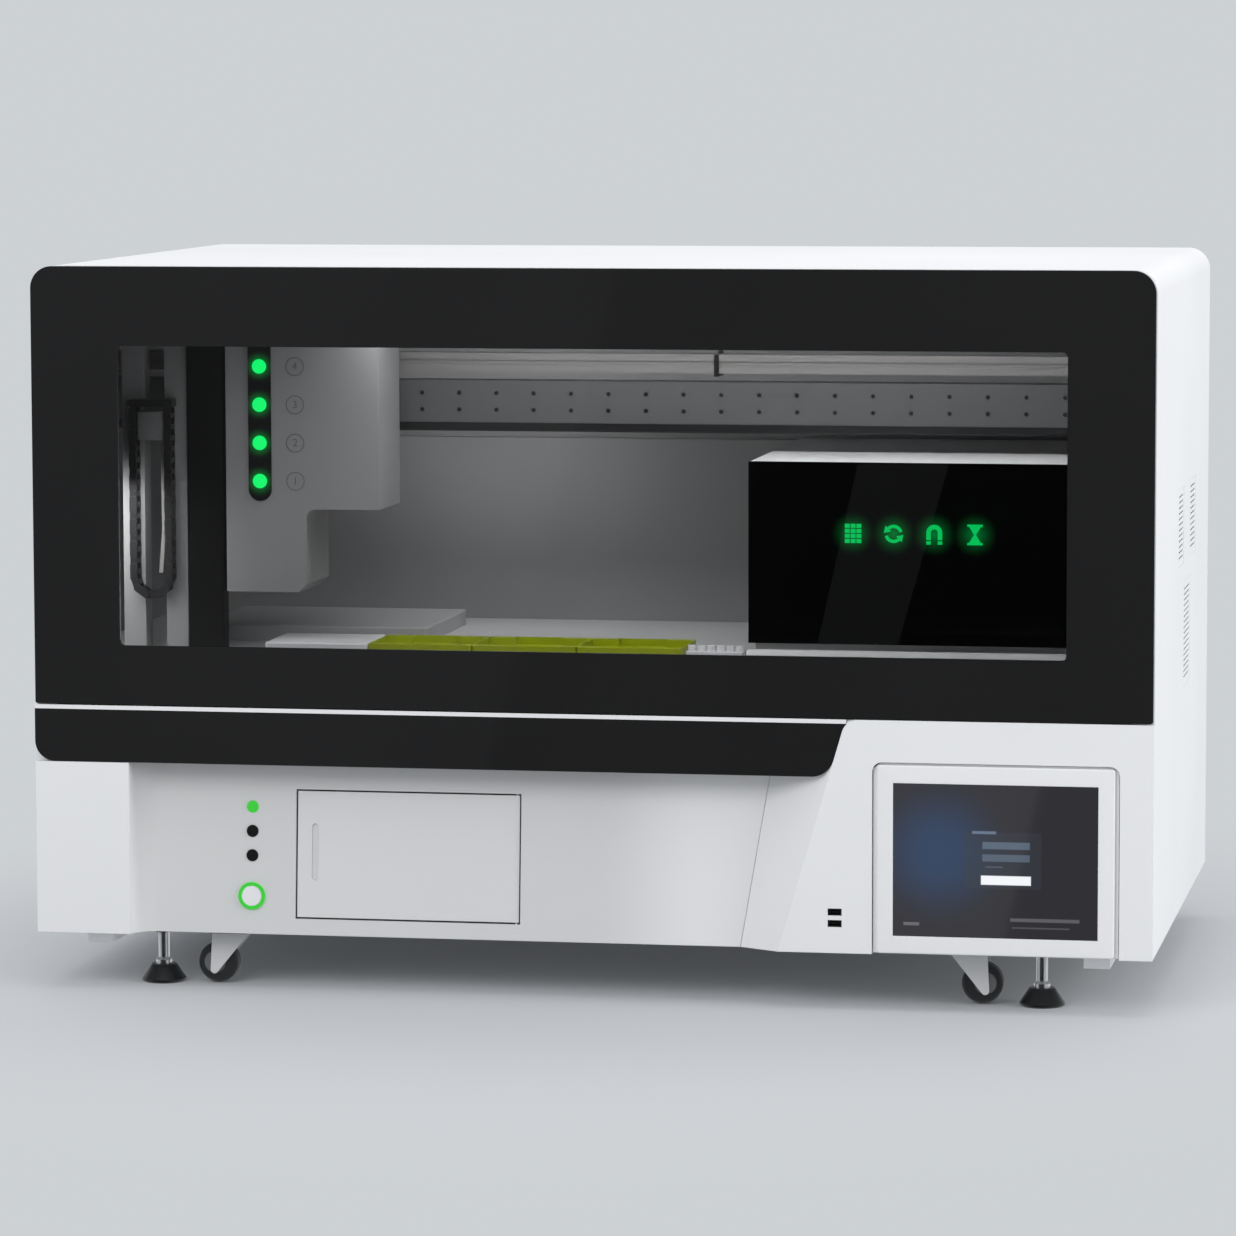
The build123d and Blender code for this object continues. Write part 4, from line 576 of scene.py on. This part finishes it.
# ---------------------------------------------------------------- plates and tubes
# Moulded carriers in yellow-green, a bare grey filler plate, and a grey strip of closed tubes,
# pushed into their places on the deck by hand.
carrier_green = coated("carrier_green", (0.33, 0.38, 0.004), (0.28, 0.33, 0.003), rough=(0.3, 0.42))
dress(carrier_green, "plate_carriers")
plate_grey = coated("plate_grey", (0.66, 0.66, 0.67), (0.61, 0.61, 0.62), rough=(0.4, 0.5))
dress(plate_grey, "blank_plate", "tube_rack")

# ---------------------------------------------------------------- magnet module
# A folded grey housing with a black glass front. Four pictograms shine green through the glass:
# a well plate, a turning ring, a horseshoe magnet and a sand glass, each in a soft halo.
icon_first_x = 0.308
icon_pitch = 0.050
icon_z = 0.566
icon_half = 0.0115
icon_relief = 0.0004
halo_reach = 0.030


def glow_group():
    """Light that spreads round four spots in a row: 1 at each spot, falling to 0 at its reach."""
    group = bpy.data.node_groups.new("row_glow", "ShaderNodeTree")
    for name in ("Along", "Across", "First", "Pitch", "Reach"):
        group.interface.new_socket(name, in_out="INPUT", socket_type="NodeSocketFloat")
    group.interface.new_socket("Glow", in_out="OUTPUT", socket_type="NodeSocketFloat")
    given = group.nodes.new("NodeGroupInput")
    result = group.nodes.new("NodeGroupOutput")
    join = group.links.new

    def step(operation, first, second=None, third=None):
        node = group.nodes.new("ShaderNodeMath")
        node.operation = operation
        for socket, value in zip(node.inputs, (first, second, third)):
            if isinstance(value, bpy.types.NodeSocket):
                join(value, socket)
            elif value is not None:
                socket.default_value = value
        return node.outputs[0]

    start = step("SUBTRACT", given.outputs["Along"], given.outputs["First"])
    index = step("ROUND", step("DIVIDE", start, given.outputs["Pitch"]))
    index = step("MINIMUM", step("MAXIMUM", index, 0.0), 3.0)
    beside = step("SUBTRACT", start, step("MULTIPLY", index, given.outputs["Pitch"]))
    away = step("SQRT", step("ADD", step("POWER", beside, 2.0),
                             step("POWER", given.outputs["Across"], 2.0)))
    near = step("SUBTRACT", 1.0, step("DIVIDE", away, given.outputs["Reach"]))
    join(step("POWER", step("MAXIMUM", near, 0.0), 2.2), result.inputs["Glow"])
    return group


row_glow = glow_group()


def lit_glass(name, base, along, across, first, pitch, across_middle, reach, colour, strength, rough):
    """Dark surface on which a row of green lights spreads a halo."""
    material = coated(name, base, base, grain=60.0, cloud=4.0, rough=rough, height=0.0)
    tree = material.node_tree
    shader = tree.nodes["Principled BSDF"]
    place = tree.nodes.new("ShaderNodeTexCoord")
    parts = tree.nodes.new("ShaderNodeSeparateXYZ")
    offset = tree.nodes.new("ShaderNodeMath")
    offset.operation = "SUBTRACT"
    offset.inputs[1].default_value = across_middle
    glow = tree.nodes.new("ShaderNodeGroup")
    glow.node_tree = row_glow
    glow.inputs["First"].default_value = first
    glow.inputs["Pitch"].default_value = pitch
    glow.inputs["Reach"].default_value = reach
    power = tree.nodes.new("ShaderNodeMath")
    power.operation = "MULTIPLY"
    power.inputs[1].default_value = strength
    tree.links.new(place.outputs["Object"], parts.inputs[0])
    tree.links.new(parts.outputs[along], glow.inputs["Along"])
    tree.links.new(parts.outputs[across], offset.inputs[0])
    tree.links.new(offset.outputs[0], glow.inputs["Across"])
    tree.links.new(glow.outputs["Glow"], power.inputs[0])
    tree.links.new(power.outputs[0], shader.inputs["Emission Strength"])
    shader.inputs["Emission Color"].default_value = (*colour, 1)
    return material


module_top = coated("module_paint", (0.52, 0.52, 0.525), (0.48, 0.48, 0.485), grain=900.0, rough=(0.36, 0.48),
                    height=0.00003)
dress(module_top, "module_housing")
icon_green = (0.0, 0.56, 0.10)
module_black = lit_glass("module_glass_black", (0.0008, 0.0008, 0.0009), "X", "Z", icon_first_x, icon_pitch,
                         icon_z, halo_reach, icon_green, 0.34, (0.03, 0.05))
dress(module_black, "module_glass")
icon_light = coated("icon_light", (0, 0.05, 0.01), (0, 0.04, 0.01), Emission_Color=(*icon_green, 1),
                    Emission_Strength=1.0)
icon_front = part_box("module_glass")[0].y - icon_relief
icon_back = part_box("module_glass")[0].y


def plate(shape, points, front, back):
    """A flat figure, given by its corners as x and z, with a thickness."""
    face = shape.faces.new([shape.verts.new((x, back, z)) for x, z in points])
    grown = bmesh.ops.extrude_face_region(shape, geom=[face])
    lifted = [item for item in grown["geom"] if isinstance(item, bmesh.types.BMVert)]
    bmesh.ops.translate(shape, verts=lifted, vec=(0, front - back, 0))


def arc_plate(shape, centre, inner, outer, start, sweep, front, back, steps=24):
    """Part of a flat ring about a centre given as x and z, with a thickness."""
    turn = Matrix.Rotation(-start, 3, "Y")
    middle = Vector((centre[0], 0, centre[1]))
    corners = ((inner, back), (outer, back), (outer, front), (inner, front))
    face = shape.faces.new([shape.verts.new(middle + turn @ Vector((r, y, 0))) for r, y in corners])
    bmesh.ops.spin(shape, geom=[face, *face.edges, *face.verts], cent=middle, axis=(0, -1, 0),
                   angle=sweep, steps=steps, use_duplicate=False)


icons = bmesh.new()
# Well plate: three columns of wells.
for column in (-1, 0, 1):
    for row in (-1.5, -0.5, 0.5, 1.5):
        well_x = icon_first_x + column * 0.0072
        well_z = icon_z + row * 0.0062
        slab(icons, (well_x - 0.0030, icon_front, well_z - 0.0025),
             (well_x + 0.0030, icon_back, well_z + 0.0025))
# Turning ring: two arcs, each with an arrow head at its end.
ring_x = icon_first_x + icon_pitch
for half_turn in (0.0, math.pi):
    arc_plate(icons, (ring_x, icon_z), 0.0072, 0.0112, half_turn + 0.25, 2.1, icon_front, icon_back)
    tip = half_turn + 0.25 + 2.1
    inward = Vector((math.cos(tip), math.sin(tip)))
    ahead = Vector((-math.sin(tip), math.cos(tip)))
    middle = Vector((ring_x, icon_z))
    head = [middle + inward * 0.0042, middle + inward * 0.0142, middle + inward * 0.0092 + ahead * 0.0078]
    plate(icons, head, icon_front, icon_back)
# Horseshoe magnet: a half ring on two legs with split ends.
magnet_x = ring_x + icon_pitch
arc_plate(icons, (magnet_x, icon_z + 0.002), 0.0042, 0.0098, 0.0, math.pi, icon_front, icon_back)
for leg in (-1, 1):
    for low, high in ((-0.0125, -0.0085), (-0.0070, 0.002)):
        slab(icons, (magnet_x + leg * 0.0070 - 0.0028, icon_front, icon_z + low),
             (magnet_x + leg * 0.0070 + 0.0028, icon_back, icon_z + high))
# Sand glass: two triangles between bars.
glass_x = magnet_x + icon_pitch
for up in (-1, 1):
    slab(icons, (glass_x - 0.0095, icon_front, icon_z + up * 0.0112 - 0.0014),
         (glass_x + 0.0095, icon_back, icon_z + up * 0.0112 + 0.0014))
    plate(icons, [(glass_x - 0.0072, icon_z + up * 0.0098), (glass_x + 0.0072, icon_z + up * 0.0098),
                  (glass_x + 0.0012, icon_z), (glass_x - 0.0012, icon_z)], icon_front, icon_back)
finished("module_icons", icons, icon_light, "case")

# ---------------------------------------------------------------- pipetting head
# A painted folded cover with an inset black strip. Four green lamps show which channels are in
# use, and a numbered ring is engraved beside each. The pipettors behind it are black.
ring_badge_x = -0.393
ring_badge_outer = 0.0118
ring_badge_inner = 0.0106
digit_size = 0.0135
engraving = 0.0003
lens_green = (0.0, 1.0, 0.16)
head_paint = coated("head_paint", (0.215, 0.215, 0.22), (0.20, 0.20, 0.205), grain=1200.0, rough=(0.4, 0.5),
                    edge=0.001)
dress(head_paint, "head_cover")
dress(black_satin, "nozzle_1", "nozzle_2", "nozzle_3", "nozzle_4")
lens_low, lens_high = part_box("led_lenses")
lens_first = lens_low.z + (lens_high.x - lens_low.x) / 2
lens_pitch = (lens_high.z - lens_low.z - (lens_high.x - lens_low.x)) / 3
lens_x = (lens_low.x + lens_high.x) / 2
strip_black = lit_glass("led_strip_black", (0.004, 0.004, 0.004), "Z", "X", lens_first, lens_pitch, lens_x,
                        0.021, lens_green, 0.42, (0.2, 0.3))
dress(strip_black, "led_strip")
lens_light = coated("lens_light", (0, 0.1, 0.02), (0, 0.08, 0.02), Emission_Color=(*lens_green, 1),
                    Emission_Strength=1.0)
dress(lens_light, "led_lenses")
badge_ink = coated("engraved_grey", (0.11, 0.11, 0.112), (0.095, 0.095, 0.097), rough=(0.5, 0.6))
head_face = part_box("head_cover")[0].y
badges = bmesh.new()
for number in range(4):
    badge_z = lens_first + number * lens_pitch
    profile = [badges.verts.new((ring_badge_x + radius, y, badge_z))
               for radius, y in ((ring_badge_inner, head_face), (ring_badge_outer, head_face),
                                 (ring_badge_outer, head_face - engraving),
                                 (ring_badge_inner, head_face - engraving))]
    loop = [badges.edges.new((profile[corner - 1], profile[corner])) for corner in range(4)]
    bmesh.ops.spin(badges, geom=profile + loop, cent=(ring_badge_x, 0, badge_z), axis=(0, 1, 0),
                   angle=2 * math.pi, steps=40, use_merge=True, use_duplicate=False)
    letter = bpy.data.curves.new("digit", "FONT")
    letter.body = str(number + 1)
    letter.size = digit_size
    letter.align_x = "CENTER"
    letter.align_y = "CENTER"
    letter.extrude = engraving / 2
    holder = bpy.data.objects.new("digit", letter)
    flat = bpy.data.meshes.new_from_object(holder)
    flat.transform(Matrix.Translation((ring_badge_x, head_face - engraving / 2, badge_z))
                   @ Matrix.Rotation(math.pi / 2, 4, "X"))
    badges.from_mesh(flat)
    bpy.data.objects.remove(holder)
finished("channel_badges", badges, badge_ink, "pipetting_head")

# ---------------------------------------------------------------- touch screen
# A liquid crystal display under a dark glass. It shows a log-in page: a blue glow at the left,
# a darker dialog with two entry fields, and a white button. All of it is drawn in the shader.
screen_low, screen_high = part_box("screen_display")
screen_middle = (screen_low + screen_high) / 2
display_base = (0.0285, 0.0275, 0.0315)
display_glow = (0.026, 0.052, 0.112)


def window_group():
    """1 inside a rectangle of the x-z plane, 0 outside, with a soft edge."""
    group = bpy.data.node_groups.new("window_mask", "ShaderNodeTree")
    for name in ("Middle X", "Middle Z", "Half Width", "Half Height", "Edge"):
        group.interface.new_socket(name, in_out="INPUT", socket_type="NodeSocketFloat")
    group.interface.new_socket("Mask", in_out="OUTPUT", socket_type="NodeSocketFloat")
    given = group.nodes.new("NodeGroupInput")
    result = group.nodes.new("NodeGroupOutput")
    place = group.nodes.new("ShaderNodeTexCoord")
    parts = group.nodes.new("ShaderNodeSeparateXYZ")
    join = group.links.new
    join(place.outputs["Object"], parts.inputs[0])

    def step(operation, first, second):
        node = group.nodes.new("ShaderNodeMath")
        node.operation = operation
        join(first, node.inputs[0])
        if isinstance(second, bpy.types.NodeSocket):
            join(second, node.inputs[1])
        else:
            node.inputs[1].default_value = second
        return node.outputs[0]

    past = []
    for axis, middle, half in (("X", "Middle X", "Half Width"), ("Z", "Middle Z", "Half Height")):
        away = step("SUBTRACT", parts.outputs[axis], given.outputs[middle])
        distance = group.nodes.new("ShaderNodeMath")
        distance.operation = "ABSOLUTE"
        join(away, distance.inputs[0])
        past.append(step("SUBTRACT", given.outputs[half], distance.outputs[0]))
    inside = step("DIVIDE", step("MINIMUM", *past), given.outputs["Edge"])
    join(step("MINIMUM", step("MAXIMUM", inside, 0.0), 1.0), result.inputs["Mask"])
    return group


window_mask = window_group()
display = coated("display_glass", (0.004, 0.004, 0.005), (0.003, 0.003, 0.004), rough=(0.03, 0.05),
                 height=0.0)
display_tree = display.node_tree
display_shader = display_tree.nodes["Principled BSDF"]
display_place = display_tree.nodes.new("ShaderNodeTexCoord")
glow_away = display_tree.nodes.new("ShaderNodeVectorMath")
glow_away.operation = "DISTANCE"
glow_away.inputs[1].default_value = (screen_middle.x - 0.068, screen_middle.y, screen_middle.z + 0.010)
glow_fade = display_tree.nodes.new("ShaderNodeMapRange")
glow_fade.interpolation_type = "SMOOTHERSTEP"
glow_fade.inputs["From Min"].default_value = 0.0
glow_fade.inputs["From Max"].default_value = 0.105
glow_fade.inputs["To Min"].default_value = 1.0
glow_fade.inputs["To Max"].default_value = 0.0
display_tree.links.new(display_place.outputs["Object"], glow_away.inputs[0])
display_tree.links.new(glow_away.outputs["Value"], glow_fade.inputs["Value"])
picture = display_tree.nodes.new("ShaderNodeMix")
picture.data_type = "RGBA"
picture.inputs["A"].default_value = (*display_base, 1)
picture.inputs["B"].default_value = (*display_glow, 1)
display_tree.links.new(glow_fade.outputs["Result"], picture.inputs["Factor"])
shown = picture.outputs["Result"]
# Each window: middle and half size from the display's middle, share of its colour, its colour.
login_windows = (
    ((0.0095, 0.0015), (0.0465, 0.0345), 0.45, (0.040, 0.048, 0.062)),
    ((0.0130, 0.0195), (0.0290, 0.0048), 0.75, (0.120, 0.165, 0.225)),
    ((0.0130, 0.0045), (0.0290, 0.0048), 0.75, (0.110, 0.145, 0.200)),
    ((0.0130, -0.0225), (0.0305, 0.0060), 1.00, (0.900, 0.920, 0.950)),
    ((-0.0135, 0.0350), (0.0150, 0.0022), 0.60, (0.200, 0.270, 0.380)),
    ((-0.0015, -0.0065), (0.0110, 0.0012), 0.35, (0.200, 0.230, 0.280)),
    ((0.0600, -0.0700), (0.0420, 0.0026), 0.22, (0.400, 0.410, 0.430)),
    ((0.0550, -0.0795), (0.0350, 0.0014), 0.15, (0.400, 0.410, 0.430)),
    ((-0.1010, -0.0775), (0.0100, 0.0024), 0.28, (0.400, 0.420, 0.460)),
)
for (middle_x, middle_z), (half_width, half_height), share, colour in login_windows:
    mask = display_tree.nodes.new("ShaderNodeGroup")
    mask.node_tree = window_mask
    mask.inputs["Middle X"].default_value = screen_middle.x + middle_x
    mask.inputs["Middle Z"].default_value = screen_middle.z + middle_z
    mask.inputs["Half Width"].default_value = half_width
    mask.inputs["Half Height"].default_value = half_height
    mask.inputs["Edge"].default_value = 0.0010
    amount = display_tree.nodes.new("ShaderNodeMath")
    amount.operation = "MULTIPLY"
    amount.inputs[1].default_value = share
    layer = display_tree.nodes.new("ShaderNodeMix")
    layer.data_type = "RGBA"
    layer.inputs["B"].default_value = (*colour, 1)
    display_tree.links.new(mask.outputs["Mask"], amount.inputs[0])
    display_tree.links.new(amount.outputs[0], layer.inputs["Factor"])
    display_tree.links.new(shown, layer.inputs["A"])
    shown = layer.outputs["Result"]
display_tree.links.new(shown, display_shader.inputs["Emission Color"])
display_shader.inputs["Emission Strength"].default_value = 1.0
dress(display, "screen_display")

# ---------------------------------------------------------------- lamps, button and sockets
# Three indicator lamps, of which only the upper is lit, over a push button in a lit green ring.
# The two data sockets are finished black all over.
lit_lamp_foot = 0.215
button_top = 0.150
lamp_black = (0.010, 0.010, 0.010)
lamps = coated("indicator_lamps", lamp_black, lamp_black, rough=(0.1, 0.2), height=0.0)
lamps_tree = lamps.node_tree
lamps_place = lamps_tree.nodes.new("ShaderNodeTexCoord")
lamps_parts = lamps_tree.nodes.new("ShaderNodeSeparateXYZ")
lamps_tree.links.new(lamps_place.outputs["Object"], lamps_parts.inputs[0])
lamps_shader = lamps_tree.nodes["Principled BSDF"]
upper = lamps_tree.nodes.new("ShaderNodeMath")
upper.operation = "GREATER_THAN"
upper.inputs[1].default_value = lit_lamp_foot
lower = lamps_tree.nodes.new("ShaderNodeMath")
lower.operation = "LESS_THAN"
lower.inputs[1].default_value = button_top
either = lamps_tree.nodes.new("ShaderNodeMath")
either.operation = "ADD"
lamps_tree.links.new(lamps_parts.outputs["Z"], upper.inputs[0])
lamps_tree.links.new(lamps_parts.outputs["Z"], lower.inputs[0])
lamps_tree.links.new(upper.outputs[0], either.inputs[0])
lamps_tree.links.new(lower.outputs[0], either.inputs[1])
lamps_tree.links.new(either.outputs[0], lamps_shader.inputs["Emission Strength"])
lamps_shader.inputs["Emission Color"].default_value = (0.045, 0.58, 0.045, 1)
dress(lamps, "status_lamps")
dress(moulded_white, "power_cap")
dress(black_satin, "usb_ports")

# ---------------------------------------------------------------- mains inlet
# A black moulded inlet with a rocker switch above the socket.
dress(black_satin, "mains_inlet", "mains_rocker")

# ---------------------------------------------------------------- underside
# A folded white base pan over two square steel rails, levelling feet with turned chrome studs
# and black rubber pads, and plate castors with zinc forks and grey wheels in rubber tyres.
dress(powder_white, "base_pan", "base_rails")
dress(zinc, "foot_nuts")
dress(black_satin, "caster_plates")
fork_zinc = coated("fork_zinc", (0.80, 0.80, 0.81), (0.74, 0.74, 0.75), grain=500.0, rough=(0.3, 0.42),
                   Metallic=0.1)
corners = ("front_left", "front_right", "rear_left", "rear_right")
dress(fork_zinc, *[f"fork_{corner}" for corner in corners])
foot_collar_foot = 0.022
wheel_hub_radius = 0.0135
wheel_middle = (0.482, 0.0265)


def two_tone(name, first, second, rough, mask_of, **sockets):
    """A finish that changes to a second colour where a mask is 1; it hands back the mask for other sockets,
    such as the metal.
    """
    material = coated(name, first, first, rough=rough, **sockets)
    tree = material.node_tree
    shader = tree.nodes["Principled BSDF"]
    place = tree.nodes.new("ShaderNodeTexCoord")
    parts = tree.nodes.new("ShaderNodeSeparateXYZ")
    tree.links.new(place.outputs["Object"], parts.inputs[0])
    mask = mask_of(tree, parts)
    paint = tree.nodes.new("ShaderNodeMix")
    paint.data_type = "RGBA"
    paint.inputs["B"].default_value = (*second, 1)
    tree.links.new(mask, paint.inputs["Factor"])
    tree.links.new(tree.nodes["drift"].outputs["Result"], paint.inputs["A"])
    tree.links.new(paint.outputs["Result"], shader.inputs["Base Color"])
    return material, tree, mask, shader


def above_pad(tree, parts):
    """1 on a foot's stud and collar."""
    test = tree.nodes.new("ShaderNodeMath")
    test.operation = "GREATER_THAN"
    test.inputs[1].default_value = foot_collar_foot
    tree.links.new(parts.outputs["Z"], test.inputs[0])
    return test.outputs[0]


def inside_tyre(tree, parts):
    """1 within a wheel's hub, for the wheels of both sides."""
    squares = []
    for axis, middle in (("X", wheel_middle[0]), ("Z", wheel_middle[1])):
        size = tree.nodes.new("ShaderNodeMath")
        size.operation = "ABSOLUTE"
        tree.links.new(parts.outputs[axis], size.inputs[0])
        off = tree.nodes.new("ShaderNodeMath")
        off.operation = "SUBTRACT"
        off.inputs[1].default_value = middle
        tree.links.new(size.outputs[0], off.inputs[0])
        square = tree.nodes.new("ShaderNodeMath")
        square.operation = "POWER"
        square.inputs[1].default_value = 2.0
        tree.links.new(off.outputs[0], square.inputs[0])
        squares.append(square.outputs[0])
    total = tree.nodes.new("ShaderNodeMath")
    total.operation = "ADD"
    tree.links.new(squares[0], total.inputs[0])
    tree.links.new(squares[1], total.inputs[1])
    test = tree.nodes.new("ShaderNodeMath")
    test.operation = "LESS_THAN"
    test.inputs[1].default_value = wheel_hub_radius ** 2
    tree.links.new(total.outputs[0], test.inputs[0])
    return test.outputs[0]


foot_finish, foot_tree, foot_mask, foot_shader = two_tone(
    "levelling_foot", (0.012, 0.012, 0.013), (0.85, 0.85, 0.86), (0.25, 0.35), above_pad)
foot_tree.links.new(foot_mask, foot_shader.inputs["Metallic"])
dress(foot_finish, *[f"foot_{corner}" for corner in corners])
wheel_finish = two_tone("castor_wheel", (0.030, 0.030, 0.032), (0.16, 0.16, 0.165), (0.5, 0.65),
                        inside_tyre)[0]
dress(wheel_finish, *[f"wheel_{corner}" for corner in corners])
